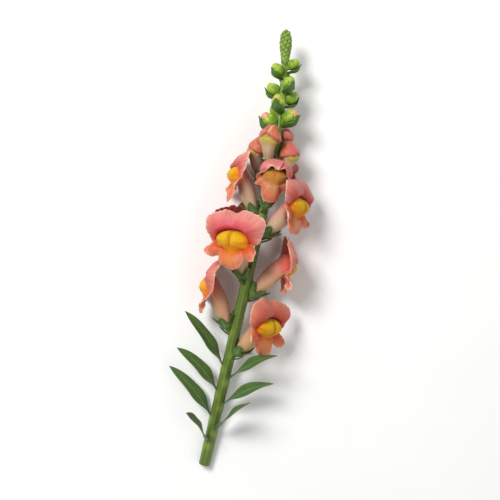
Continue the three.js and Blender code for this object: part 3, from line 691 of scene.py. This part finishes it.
def back_shades(kind, angle, part):
    """The outside of the lips: salmon, with the magenta of the fold showing through. On a lip that is
    still a hood, this is the side that shows: it is brighter along its fold, and a rust-brown band,
    mostly painted shade, runs down one side of it."""
    if kind is OPEN_FLOWER:
        upper = shade([(0, SALMON), (0.3, MAGENTA), (0.7, mix(MAGENTA, SALMON, 0.6)),
                       (1, PINK_EDGE)], part)
        under = shade([(0, mix(SALMON, CREAM, 0.4)), (0.5, SALMON), (0.75, PINK_EDGE), (1, PALE)], part)
    else:
        upper = shade([(0, mix(SALMON, CREAM, 0.3)), (0.22, BLUSH), (0.5, mix(BLUSH, PINK_EDGE, 0.35)),
                       (0.8, mix(BLUSH, PINK_EDGE, 0.6)), (1, PALE)], part)
        # mostly painted shade: one side of the hood is darkened towards rust-brown
        upper = dye(upper, RUST, 0.6 * ease(22, 60, angle) * ease(120, 80, angle))
        under = shade([(0, mix(SALMON, CREAM, 0.5)), (1, SALMON)], part)
    return dye(upper, under, ease(*kind["corner"], from_top_of(angle)))


# %% Colours of the inside
def upper_shades(angle, part, seed):
    """The upper lip: coral at the mouth, then magenta at the fold on its cool stretches and ember
    on its warm ones, salmon, and a pale edge; both corners glow."""
    warm = shade([(0, CORAL), (0.3, EMBER), (0.52, mix(EMBER, SALMON, 0.6)),
                  (0.75, mix(SALMON, PINK_EDGE, 0.35)), (0.95, PINK_EDGE), (1, PALE)], part)
    cool = shade([(0, CORAL), (0.14, mix(CORAL, MAGENTA, 0.4)), (0.34, MAGENTA),
                  (0.48, mix(BLUSH, MAGENTA, 0.3)), (0.66, mix(BLUSH, PINK_EDGE, 0.55)),
                  (0.93, PINK_EDGE), (1, PALE)], part)
    upper = dye(warm, cool, ease(-0.6, 0.6, waves(angle, seed + 70, [1, 2])))
    return dye(upper, EMBER, 0.8 * ease(35, 80, from_top_of(angle)) * ease(1, 0.45, part))


def lower_shades(kind, angle, part):
    """The lower lip: orange from the yellow palate outwards, and peach on its middle lobe. A young
    one is tan."""
    if kind is not OPEN_FLOWER:
        return shade([(0, TAN), (0.35, mix(TAN, PINK_EDGE, 0.35)), (0.7, mix(PEACH, SALMON, 0.35)),
                      (0.92, mix(PEACH, SALMON, 0.7)), (1, PALE)], part)
    side = shade([(0, ORANGE), (0.2, mix(ORANGE, CORAL, 0.4)), (0.45, mix(CORAL, ORANGE, 0.6)),
                  (0.72, mix(PEACH, SALMON, 0.4)), (0.9, mix(PINK_EDGE, PEACH, 0.4)), (1, PALE)], part)
    tongue = shade([(0, AMBER), (0.3, APRICOT), (0.6, mix(APRICOT, PEACH, 0.7)),
                    (0.85, mix(PEACH, SALMON, 0.3)), (1, mix(PEACH, PINK_EDGE, 0.6))], part)
    return dye(side, tongue, hump(from_top_of(angle) - 180, 26))


def front_shades(kind, angle, part, seed):
    """The inside of both lips, which meet at the corners, with pale blotches."""
    lower = ease(*kind["corner"], from_top_of(angle))
    shades = dye(upper_shades(angle, part, seed), lower_shades(kind, angle, part), lower)
    blotch = 0.3 * waves(angle, seed + 50, [3, 5, 8]) * ease(0.2, 0.7, part)
    return dye(shades, PINK_EDGE, np.clip(blotch, 0, 1))


# %% Build the corollas
PETAL_SEED, PETAL_STEP = 11.0, 7

for number, flower in enumerate(FLOWERS):
    body = corolla(flower, PETAL_SEED + PETAL_STEP * number)
    ripe = RIPE.get(flower[0], HARDLY_RIPE)
    body["colours"] = mix(body["colours"], body["colours"] * RIPENED, ripe)
    make_piece(flower[0] + "_petals", [body], PETAL, "petal", flower[0] + "_corolla")

# %% [markdown]
# ## The palates
# The palate is the swollen yellow part of the lower lip that closes the mouth: two rounded
# bosses with a groove between them, softly furry. It is a cushion over an oval, round in
# section, whose top is lowered along the middle and which sags towards the lower lip.

# %% The palate's form
LIP_JOIN = 0.26
PALATE_SIDES = 120
FUR = {"count": 800, "length": 0.6, "low": 12 * PALATE_SIDES}


def palate(flower, seed, lip_seed):
    """Rings over an oval that is pinched in the middle. Spread and rise follow a squarish arc,
    and a groove lowers the rise between the bosses. Towards its lower edge the cushion passes
    smoothly into the sheet of the lower lip, a quarter of the way out from the rim."""
    kind = flower[5]
    height, sag, groove = kind["palate"]
    arc = np.linspace(0, np.pi / 2, 34)[:, None]
    turn = full_turn(PALATE_SIDES)
    below = ease(0.1, -0.7, np.cos(turn))
    rise = np.sin(arc) ** mix(0.72, 1.12, below)
    spread = np.cos(arc) ** mix(0.7, 1.02, below)
    sideways = np.sin(turn) * spread * (kind["wide"] - SHEET / 2)
    up = np.cos(turn) * spread * (kind["tall"] - SHEET / 2)
    up = up * (1 - 0.35 * groove * hump(sideways, 1.8) * ease(0, 0.4, rise))
    bump = 1 - groove * hump(sideways, 1.15) + 0.25 * groove * hump(np.abs(sideways) - 4.6, 2.8)
    foot = GAP + SHEET / 2
    cushion = on_face(kind, sideways, up - sag * rise, foot + height * rise * bump)
    angle = np.degrees(turn) + 0 * rise
    at_join = np.full(angle.shape, LIP_JOIN)
    merged = ease(-0.1, -0.5, np.cos(turn)) * ease(0.78, 0.02, rise)
    cushion = dye(cushion, petal_sheet(kind, angle, at_join, lip_seed), merged)
    base = np.broadcast_to(on_face(kind, 0, 0, foot - 0.8), cushion[:1].shape)
    step_back = (on_face(kind, 0, 0, -0.8) - on_face(kind, 0, 0, 0)) * (1 - merged[:1])[..., None]
    under = mix(cushion[:1], base, 0.05) + step_back
    shades = palate_shades(kind, sideways, up, rise, turn, seed)
    shades = dye(shades, front_shades(kind, angle, at_join, lip_seed), ease(0.1, 0.8, merged))
    grain = np.stack(np.broadcast_arrays(sideways, 0.14 * (up + height * rise), seed), -1)
    rings = [np.concatenate([first, second, whole]) for first, second, whole in
             ((base, under, cushion), (shades[:1], shades[:1], shades), (grain[:1], grain[:1], grain))]
    return ring_body(*rings, place_of(flower))


# %% The palate's colours
def palate_shades(kind, sideways, up, rise, turn, seed):
    """Yellow that passes into amber beside and below, orange at the foot, and browner in the groove,
    which is painted shade. A young palate is mustard, tan below, with rust-brown streaks that
    strengthen towards the top under the hood: its own streaks with painted shade."""
    foot = 1 - ease(0.1, 0.6, rise - 0.15 * np.cos(turn))
    if kind is OPEN_FLOWER:
        beside = np.maximum(ease(0.55, 0.95, np.abs(sideways) / kind["wide"]),
                            0.85 * ease(0.1, -0.75, up / kind["tall"]))
        shades = dye(YELLOW, AMBER, beside)
        shades = dye(shades, ORANGE, 0.9 * foot)
        # painted shade: the groove between the bosses is darkened towards brown
        return dye(shades, mix(AMBER, RUST, 0.5), 0.8 * hump(sideways, 0.6) * ease(0.35, 0.9, rise))
    shades = dye(colour(190, 128, 36), TAN, ease(3, -5, up))
    # the palate's own streaks, strengthened towards the top as painted shade under the hood
    streak = 0.5 * ease(0.1, 0.9, waves(sideways * 36, seed, [3, 5, 8])) * ease(-7, 3, up)
    return dye(shades, RUST, 0.3 * foot + streak)


for number, flower in enumerate(FLOWERS):
    slot = "palate" if flower[5] is OPEN_FLOWER else "young_palate"
    body = palate(flower, 3.0 * number, PETAL_SEED + PETAL_STEP * number)
    fur = hairs(body, seed=3.0 * number, **FUR)
    make_piece(flower[0] + "_palate_boss", [body, fur], PALATE, slot, flower[0] + "_palate")

# %% [markdown]
# ## The coloured buds
# Before it opens, the upper lip is folded down over the lower one like a hood, with a crease
# along its middle. The bud is a slim tube with an egg-shaped head, and the hood is the upper
# part of that head, set proud along a bent edge. Each of these forms is one term of a height
# that is added along the egg's normal, so that they run softly into one another.

# %% More rings through a few
BUD_SIDES, BUD_RINGS, EGG_SLICES = 160, 84, 9
BUD_TUBE = {"foot": 3.4, "wide": 7.2, "tall": 6.6, "ends": [0, 0.27, 0.53], "swell": 1.3}
HOOD = {"edge": -1.2, "proud": 1.2, "recess": 0.5, "crease": 1.3, "soft": 0.22, "bulge": 1.3,
        "drawn_in": 1.2}


def smooth_rings(knots, count):
    """More rings through a few: along each line of the knots, cubic pieces with centred slopes."""
    v = np.linspace(0, len(knots) - 1, count)
    i = np.minimum(v.astype(int), len(knots) - 2)
    t = (v - i).reshape(-1, *[1] * (knots.ndim - 1))
    slopes = np.gradient(knots, axis=0)
    return cubic(knots[i], knots[i + 1], slopes[i], slopes[i + 1], t)


# %% The hood of a bud
def hood_lift(kind, sideways, up, out, seed):
    """Height to add, at steps from the egg's centre: the hood above a bent edge, a groove just
    below it, a bulging pouch, a crease down the front, pleats, shoulders drawn in and fine ribs.
    It also gives what the colours need, the height over the edge and the share of each part."""
    tall = kind["head"][1]
    head = ease(-tall, -0.6 * tall, up)
    edge = HOOD["edge"] - 0.25 * np.abs(sideways) + 1.5 * hump(sideways, 1.5) * ease(-1, 2, out)
    edge = edge + 0.35 * np.sin(sideways * 1.3 + seed)
    hood = ease(-HOOD["soft"], HOOD["soft"], up - edge)
    sunk = np.exp(-np.maximum(edge - up, 0) / 0.7) * (1 - hood) * head
    bulge = hump(up + 0.5 * tall, 0.3 * tall) * (1 - hood) * ease(-2, 3, out)
    crease = hump(sideways, 0.9) * ease(-1, 3, up) * ease(-1, 2, out)
    fan = np.arctan2(sideways, tall + 3 - up)
    pleats = 0.2 * np.cos(fan * 30 + seed) + 0.4 * np.cos(fan * 11 + 2 * seed)
    pleats = pleats * hood * ease(0.2, 3, np.abs(sideways))
    shoulder = hump(up / tall - 0.62, 0.3) * ease(1, 5, np.hypot(sideways, 0.5 * out))
    ribs = 0.08 * np.cos(sideways * 3.2) * (1 - hood) * head
    lift = HOOD["proud"] * hood - HOOD["recess"] * sunk - HOOD["crease"] * crease + pleats + ribs
    lift = lift + HOOD["bulge"] * bulge - HOOD["drawn_in"] * shoulder
    return lift, {"over": up - edge, "hood": hood, "sunk": sunk, "head": head}


def bud_shades(kind, turn, sideways, up, out, parts, seed):
    """A cream and mauve tube, an olive pouch with a brown painted shadow in the groove under the hood's
    edge, and a salmon cap that blushes here and there and is pale along its middle."""
    tube = 0.84 * dye(CREAM, MAUVE, 0.35 + 0.35 * np.cos(turn) + 0 * up)
    pouch = dye(OLIVE, colour(188, 166, 82), ease(-1, -0.8 * kind["head"][1], up))
    # painted shadow: the groove under the hood's edge is darkened to brown
    pouch = dye(pouch, colour(120, 82, 30), 0.75 * parts["sunk"])
    cap = dye(RUST, mix(SALMON, TAN, 0.3), ease(0, 2.4, parts["over"]))
    rosy = ease(-0.5, 0.7, waves(np.degrees(turn), seed, [1, 2])) * ease(0.5, 4, parts["over"])
    cap = dye(cap, BLUSH, 0.6 * rosy)
    light = hump(sideways - 0.7, 1.1) * ease(-0.5, 3, up) * ease(-1, 2, out)
    cap = dye(cap, PALE, 0.9 * light)
    return dye(dye(tube, pouch, parts["head"] * ease(-3, 1, out)), cap, parts["hood"])


# %% Build the coloured buds
def coloured_bud(flower, seed):
    """A tube that swells into an upright egg, sliced across, and lifted along its normal."""
    kind = flower[5]
    wide, tall, deep, back = kind["head"]
    turn = full_turn(BUD_SIDES)
    t = np.array(BUD_TUBE["ends"])[:, None]
    swell = t ** BUD_TUBE["swell"]
    sizes = [mix(BUD_TUBE["foot"], BUD_TUBE[side], swell) for side in ("wide", "tall")]
    tube = on_tube(kind, *np.broadcast_arrays(t, turn, *sizes))
    slice_at = np.radians(np.linspace(-32, 90, EGG_SLICES))[:, None]
    egg = on_face(kind, np.sin(turn) * np.cos(slice_at) * wide, np.sin(slice_at) * tall,
                  -np.cos(turn) * np.cos(slice_at) * deep - back)
    rings = smooth_rings(np.concatenate([tube, egg]), BUD_RINGS)
    tilt = math.radians(kind["tilt"])
    x, sideways, z = np.moveaxis(rings - on_face(kind, 0, 0, -back), -1, 0)
    up = -math.sin(tilt) * x + math.cos(tilt) * z
    out = math.cos(tilt) * x + math.sin(tilt) * z
    lift, parts = hood_lift(kind, sideways, up, out, seed)
    normal = unit(np.stack([sideways / wide**2, up / tall**2, out / deep**2], -1))
    step = np.moveaxis(normal * lift[..., None], -1, 0)
    rings = rings + on_face(kind, *step) - on_face(kind, 0, 0, 0)
    rings = np.concatenate([np.broadcast_to(TUBE_FOOT, rings[:1].shape), rings])
    colours = bud_shades(kind, turn, sideways, up, out, parts, seed)
    colours = np.concatenate([colours[:1], colours])
    run = np.linspace(0, 1.4, len(rings))[:, None]
    return ring_body(rings, colours, circles(6, turn, run + seed), place_of(flower))


for number, flower in enumerate(COLOURED_BUDS):
    make_piece(flower[0] + "_petals", [coloured_bud(flower, 5.0 * number)], BUD, "bud", flower[0])

# %% [markdown]
# ## Leaves and bracts
# Both are blades: a bent line, and across it a width that swells and narrows to a point, folded
# up at its sides. The edges wave a little, and a groove and side veins mark the upper face. The
# leafy stem is one solid in the frame; here it is several skins that sink into one another.

# %% The form of a blade
def blade_width(t, root, slow):
    """Share of the full width: a sine up from the root's share, then a cosine down to a point."""
    rising = mix(root, 1, np.sin(np.minimum(t, 0.4) / 0.4 * np.pi / 2) ** slow)
    return np.where(t < 0.4, rising, np.maximum(np.cos((t - 0.4) / 0.6 * np.pi / 2), 0) ** 0.8)


def blade(long, wide, thick, rise, bend, fold, twist=0, root=0.45, rings=26, clasp=False,
          wavy=0.0, slow=1.0):
    """A thin leaf: a line that leaves its root at an angle and bends evenly; the width turns
    about it as it goes. One that clasps a bud bends late, and its tip flicks outwards."""
    steps = 60
    s = (np.arange(steps) + 0.5) / steps
    bent = 1.12 * ease(0.38, 0.8, s) - 0.34 * ease(0.84, 1, s) if clasp else s
    turns = np.radians(rise + bend * bent)
    ways = np.stack([np.cos(turns), np.sin(turns)], -1) * long / steps
    line = np.vstack([[0, 0], np.cumsum(ways, 0)])
    t = np.concatenate([[0], np.linspace(0, 1, rings) ** 0.95, [1]])[:, None]
    along, up = (np.interp(t * steps, np.arange(steps + 1), line[:, k]) for k in (0, 1))
    turn = np.interp(t, s, turns)
    half = wide / 2 * blade_width(t, root, slow)
    half[[0, -1]] = 0
    across = np.concatenate([np.linspace(-1, 1, 15), np.linspace(1, -1, 15)[1:-1]])[None]
    face = np.concatenate([np.ones(15), -np.ones(13)])[None]
    aside = np.abs(across)
    veins = 0.16 * np.cos(aside * 9 - t * 40) * (1 - aside) * ease(0, 0.2, aside)
    lift = face * thick / 2 * np.sqrt(1 - aside**4) * (1 - 0.5 * t) + aside**1.3 * half * fold
    lift = lift + wavy * np.sin(t * 11 + 1.5 * np.sign(across)) * across**2 * ease(0.1, 0.5, t)
    lift = (lift + (veins - 0.35 * hump(across, 0.13)) * thick * 0.6) * (half > 0)
    roll = np.radians(twist) * ease(0, 0.5, t)
    sideways = across * half * np.cos(roll) - lift * np.sin(roll)
    above = across * half * np.sin(roll) + lift * np.cos(roll)
    points = np.stack([along - np.sin(turn) * above, sideways, up + np.cos(turn) * above], -1)
    return points, across + 0 * t, t + 0 * across


def blade_body(place, deep, light, seed, **numbers):
    """A blade with a light midrib and a darker skin, put at a place."""
    points, across, t = blade(**numbers)
    aside = np.abs(across)
    paler = 0.15 + 0.6 * hump(across, 0.1) * (1 - 0.6 * t)
    paler = paler + 0.2 * ease(0.75, 1, aside) + 0.3 * ease(0.16, 0.04, t)
    grain = np.stack([across * 4, t * 2.2 + aside * 3, 0 * t + seed], -1)
    return ring_body(points, dye(deep, light, np.clip(paler, 0, 1)), grain, place)


# %% Leaves
LEAF_DEEP = colour(62, 92, 40)
LEAF_LIGHT = colour(128, 158, 84)
LEAF_FORM = {"wide": 11, "thick": 0.8, "fold": 0.22, "root": 0.2, "slow": 1.6, "rings": 60,
             "wavy": 0.6}
LEAF_PLACES = [(14 + 9.5 * i, (1 if i % 2 else -1) * (58 + 34 * float(draw(i, 7)))) for i in range(7)]

leaves = []
for i, (distance, side) in enumerate(LEAF_PLACES):
    form = {**LEAF_FORM, "long": 50 * (1 + 0.12 * float(draw(i, 1))), "twist": math.copysign(50, side),
            "rise": 52 + 3 * float(draw(i, 3)), "bend": -24 + 8 * float(draw(i, 4))}
    place = moved(on_stem(distance, side), 1.2, 0)
    leaves.append(blade_body(place, LEAF_DEEP, LEAF_LIGHT, 2.0 * i, **form))
make_piece("leaves", leaves, LEAF, "green", "leafy_stem")

# %% [markdown]
# ## Calyces
# Each flower and coloured bud stands in a calyx, a green cup of five pointed lobes on a short
# stalk, above a narrow bract. The lobes are one surface whose reach rises and falls five times
# round, so that they part in clean notches.

# %% Calyces with their bracts
BRACT = {"thick": 0.7, "rise": 8, "bend": 34, "fold": 0.2}
CUP_SIDES = 100
DOWN = {"count": 300, "length": 0.4, "low": CUP_SIDES}


def calyx(flower, seed):
    """Stalk, cup and five lobes: the lobes' reach falls from their middles to the notches, and
    each goes up and outwards; outside and inside are one run of rings."""
    long, rise = flower[5]["calyx"]
    turn = full_turn(CUP_SIDES)[0]
    fifths = turn * 5 / (2 * np.pi)
    aside = 2 * np.abs(fifths - np.round(fifths))
    reach = mix(long, 2.2, aside**1.25)
    part = np.linspace(0, 1, 14)[:, None]
    end = np.radians(mix(rise[0], rise[1], part))
    middle = (math.radians(rise[0]) + end) / 2
    thick = 0.8 * (1 - 0.5 * part)
    cupped = 0.5 * (1 - aside**2) * ease(0.1, 0.6, part) * (1 - 0.5 * part)
    out = 4.25 + np.cos(middle) * reach * part + cupped
    up = np.sin(middle) * reach * part - 0.6
    outer, inner = (circles(out + np.sin(end) * half, turn, up - np.cos(end) * half)
                    for half in (thick / 2, -thick / 2))
    low, wall, floor, centre = (circles(radius, turn, height)[None] for radius, height in
                                ((2.2, -2.9), (3.5, -2.1), (3.7, -0.35), (0, -0.35)))
    root = np.array([0.3, 0, -2.0])
    to_foot = TUBE_FOOT - root
    across = unit(np.array([to_foot[2], 0, -to_foot[0]]))
    stalk = root + circles(1.3, turn, 0) @ np.array([across, [0, 1, 0], [0, 0, 0]])
    origin, axes = CALYX_PLACE
    cup = origin + np.concatenate([low, wall, outer, inner[::-1], floor, centre]) @ axes
    rings = np.concatenate([np.broadcast_to(root, (1, *stalk.shape)), stalk[None], cup])
    light = np.concatenate([np.full(4, 0.5), part[:, 0] * -0.2 + 0.35, np.full(14, 0.15), [0, 0]])
    light = np.clip(light[:, None] + 0.5 * hump(aside, 0.12), 0, 1)
    run = np.linspace(0, 3, len(rings))[:, None]
    grain = circles(4, turn, run * 0.4 + seed)
    return ring_body(rings, dye(LEAF_DEEP, LEAF_LIGHT, light), grain, place_of(flower))


cups = []
for number, flower in enumerate(FLOWERS + COLOURED_BUDS):
    cups.append(calyx(flower, 4.0 * number))
    cups.append(hairs(cups[-1], seed=4.0 * number, **DOWN))
    grown = 0.8 + 0.2 * flower[4]
    form = {**BRACT, "long": 12 * grown, "wide": 5.2 * grown}
    place = moved(on_stem(flower[1], flower[2]), 1.0, -3.4)
    cups.append(blade_body(place, LEAF_DEEP, LEAF_LIGHT, 50.0 + number, **form))
make_piece("calyces", cups, LEAF, "green", "leafy_stem")

# %% [markdown]
# ## Green buds
# The green buds climb in a spiral of 137.5 degrees, as most flower spikes do. Each is a short
# stalk, five lobes closed round the young flower, and its pale tip, in the angle of its bract.

# %% Green buds and their bracts
BUD_GREEN = colour(106, 146, 28)
BUD_LIGHT = colour(166, 188, 58)
BUD_CREAM = colour(236, 196, 120)
BUD_BLUSH = colour(230, 150, 124)
BRACT_DEEP = colour(52, 92, 38)
CLASPING = {"long": 19, "wide": 9.6, "thick": 0.8, "rise": 12, "bend": 58, "fold": 0.42, "clasp": True}
SPIRAL = 137.5
GREEN_BUDS = 10


def green_bud(place, seed, ripe):
    """Rings along the bud's axis: a radius that swells and closes, five ridges, and a step at
    the ragged edge of the lobes, beyond which the corolla's tip shows."""
    turn = full_turn(80)
    v = np.linspace(0, 1, 60)[:, None]
    lobes = np.cos(5 * turn)
    closed = [[0, 0.25], [0.1, 0.36], [0.17, 0.44], [0.32, 0.86], [0.5, 1], [0.74, 0.84], [1, 0.4]]
    inner = [[0, 0], [0.5, 0.5], [0.72, 0.64], [0.9, 0.5], [0.97, 0.3], [1, 0]]
    covered = 1 - ease(-0.012, 0.012, v - (0.755 + 0.07 * lobes))
    ridge = 1 + 0.03 * lobes * ease(0.15, 0.4, v)
    radius = 5.2 * mix(through(inner, v), through(closed, v) * ridge, covered)
    light = 0.15 + 0.2 * lobes * ease(0.2, 0.5, v) + 0.8 * ease(0.55, 0.75, v)
    skin = dye(BUD_GREEN, BUD_LIGHT, np.clip(light, 0, 1))
    tip = dye(BUD_LIGHT, mix(BUD_CREAM, BUD_BLUSH, ripe), ease(0.7, 0.95, v) * ripe)
    rings = circles(radius, turn, 14.5 * v)
    return ring_body(rings, dye(tip, skin, covered), circles(4, turn, v + seed), place)


buds, bracts = [], []
for i in range(GREEN_BUDS):
    place = on_stem(246 + 4.75 * i, -72.5 + SPIRAL * i)
    size = mix(1.06, 0.76, i / (GREEN_BUDS - 1))
    buds.append(green_bud(moved(place, 1.2, -1.5, size, 50), 3.0 * i, max(0.0, 1 - i / 5)))
    bracts.append(blade_body(moved(place, 1.2, -4.6, size), BRACT_DEEP, BUD_GREEN, 9.0 * i, **CLASPING))
make_piece("green_buds", buds, GREEN, "green", "leafy_stem")
make_piece("bud_bracts", bracts, LEAF, "green", "leafy_stem")

# %% [markdown]
# ## The spike
# The end of the stem is a slim club that carries the last, tiny buds of the same spiral. They
# overlap like scales, and get shorter and stand closer towards the point.

# %% The spike
TIP_FROM = 289
TIP_RADII = [1.8, 2.6, 3.1, 3.7, 4.3, 4.4, 4.2, 3.2, 0]
TIP_LONG = STEM_LENGTH - TIP_FROM
TINY_BUDS = 56
SPIKE_DEEP = colour(84, 112, 30)
SPIKE_LIGHT = colour(142, 170, 62)


def tip_radius(t):
    """A smooth line through the radii that are given at even steps along the spike."""
    return through(list(zip(np.linspace(0, 1, len(TIP_RADII)), TIP_RADII)), t)


def spike_core():
    """Rings along the last of the stem: a slim club that the tiny buds stand on."""
    t = np.linspace(0, 1, 50)[:, None]
    turn = full_turn(32)
    origin, axes = on_stem(TIP_FROM + t[:, 0] * TIP_LONG, 0)
    rings = origin[:, None] + circles(0.7 * tip_radius(t), turn, 0) @ axes
    return ring_body(rings, SPIKE_DEEP, circles(3, turn, t * 3))


def tiny_bud(place, long, wide, light, seed):
    """Rings along the bud's axis: a radius that swells early and runs out to a blunt point, and
    is smaller outwards than sideways, as the buds press on each other."""
    turn = full_turn(16)
    v = np.linspace(0, 1, 12)[:, None]
    radius = wide / 2 * through([[0, 0.5], [0.45, 1], [0.75, 0.8], [1, 0]], v)
    rings = circles(radius, turn, long * v) * [0.7, 1, 1]
    colours = dye(SPIKE_DEEP, SPIKE_LIGHT, light * ease(0.1, 0.8, v) + 0 * turn)
    return ring_body(rings, colours, circles(2, turn, 0.5 * v + seed), place)


tip = [spike_core()]
for i in range(TINY_BUDS):
    part = (i + 0.5) / TINY_BUDS
    long = mix(6.4, 3.8, part) * (1 + 0.12 * float(draw(i, 12)))
    height = (TIP_LONG - long) * part
    thick = float(tip_radius((height + 0.4 * long) / TIP_LONG))
    wide = min(thick, 3.6) * (1 + 0.12 * float(draw(i, 13)))
    place = on_stem(TIP_FROM + height, SPIRAL * i)
    place = moved(place, 1.1 * thick - 0.5 * wide, 0, lean=mix(8, 2, part))
    tip.append(tiny_bud(place, long, wide, 0.8 + 0.2 * float(draw(i, 11)), 1.0 * i))
make_piece("spike", tip, GREEN, "green", "leafy_stem")

# %% [markdown]
# ## The stem itself
# A juicy round stem, a little ribbed, swollen and lighter where a flower or a leaf leaves it,
# and pale at the cut.

# %% Stem
STEM_SHOWN = 300
STEM_SIDES = 48
STEM_FULLER = 1.08
STEM_DOWN = {"count": 2500, "length": 0.4, "low": 150 * STEM_SIDES}


def stem():
    """Rings along the line: a tapering radius, shallow ribs, and a low swelling at each joint."""
    distance = np.linspace(0, STEM_SHOWN, 330)[:, None]
    turn = full_turn(STEM_SIDES)
    near = 0
    for along, side in [(f[1] - 1, f[2]) for f in FLOWERS + COLOURED_BUDS] + LEAF_PLACES:
        facing = ease(-0.2, 1, np.cos(turn - math.radians(side)))
        near = np.maximum(near, hump(distance - along, 2.8) * facing)
    radius = stem_radius(distance) * STEM_FULLER + 0.3 * near
    radius = radius * (1 + 0.018 * np.cos(8 * turn) + 0.01 * np.cos(3 * turn + distance / 30))
    origin, axes = on_stem(distance[:, 0], 0)
    rings = origin[:, None] + circles(radius, turn, 0) @ axes
    ends = [np.broadcast_to(origin[k], rings[:1].shape) for k in (0, -1)]
    greens = [(0, colour(78, 98, 38)), (0.5, colour(86, 108, 38)), (1, colour(116, 144, 50))]
    light = 0.3 * near + 0.2 * (0.5 + 0.5 * np.cos(8 * turn))
    colours = dye(shade(greens, distance / STEM_LENGTH), colour(156, 178, 70), light)
    colours = np.concatenate([0 * colours[:1] + colour(176, 190, 128), colours, colours[-1:]])
    run = np.concatenate([[[0]], distance, [[STEM_SHOWN]]]) * 0.03
    return ring_body(np.concatenate([ends[0], rings, ends[1]]), colours, circles(5, turn, run))


stalk = stem()
down = hairs(stalk, seed=8.0, **STEM_DOWN)
make_piece("stem", [stalk, down], GREEN, "green", "leafy_stem")

# %% [markdown]
# ## The set: floor, light and camera
# A pale floor under soft light, with the camera straight above, turned so that the stem leans
# the way a stem leans in a bunch. A wide lamp makes the shadow soft.

# %% Floor
floor_mesh = bpy.data.meshes.new("floor")
floor_corners = [(x, y, -0.0002) for x, y in ((-3, -3), (3, -3), (3, 3), (-3, 3))]
floor_mesh.from_pydata(floor_corners, [], [(0, 1, 2, 3)])
floor = add_object("floor", floor_mesh)
paper = bpy.data.materials.new("paper")
paper.use_nodes = True
paper_tree = paper.node_tree
paper_shader = paper_tree.nodes["Principled BSDF"]
paper_shader.inputs["Roughness"].default_value = 0.9
paper_place = add_node(paper_tree, "ShaderNodeTexCoord")
paper_noise = add_node(paper_tree, "ShaderNodeTexNoise", Scale=10)
paper_ramp = add_node(paper_tree, "ShaderNodeValToRGB")
paper_ramp.color_ramp.elements[0].color = (0.86, 0.86, 0.85, 1)
paper_ramp.color_ramp.elements[1].color = (0.91, 0.91, 0.9, 1)
paper_tree.links.new(paper_place.outputs["Object"], paper_noise.inputs["Vector"])
paper_tree.links.new(paper_noise.outputs["Fac"], paper_ramp.inputs["Fac"])
paper_tree.links.new(paper_ramp.outputs["Color"], paper_shader.inputs["Base Color"])
floor_mesh.materials.append(paper)

# %% Light
world = bpy.data.worlds.new("studio")
bpy.context.scene.world = world
world.use_nodes = True
world.node_tree.nodes["Background"].inputs["Color"].default_value = (1, 1, 1, 1)
world.node_tree.nodes["Background"].inputs["Strength"].default_value = 0.42


def lamp(name, place, size, power):
    """A square soft lamp at a place, facing the middle of the floor."""
    light = bpy.data.lights.new(name, "AREA")
    light.size = size
    light.energy = power
    holder = add_object(name, light)
    holder.location = place
    x, y, z = place
    holder.rotation_euler = (math.acos(z / math.hypot(x, y, z)), 0, math.atan2(x, -y))
    print(name, "lamp:", power, "W")


lamp("key", (-0.7, 0.5, 1.2), 0.5, 19)
lamp("fill", (0.9, -0.5, 1.1), 1.2, 4)

# %% Camera
camera_data = bpy.data.cameras.new("camera")
camera_data.lens = 85
camera_data.sensor_width = 36
camera_data.clip_start = 0.01
camera = add_object("camera", camera_data)
camera.location = (0.002, 0.0, 0.85)
camera.rotation_euler = (0, 0, math.radians(10.5))
bpy.context.scene.camera = camera
bpy.context.scene.view_settings.view_transform = "Standard"
print("camera:", round(camera.location.z, 3), "m above the floor")
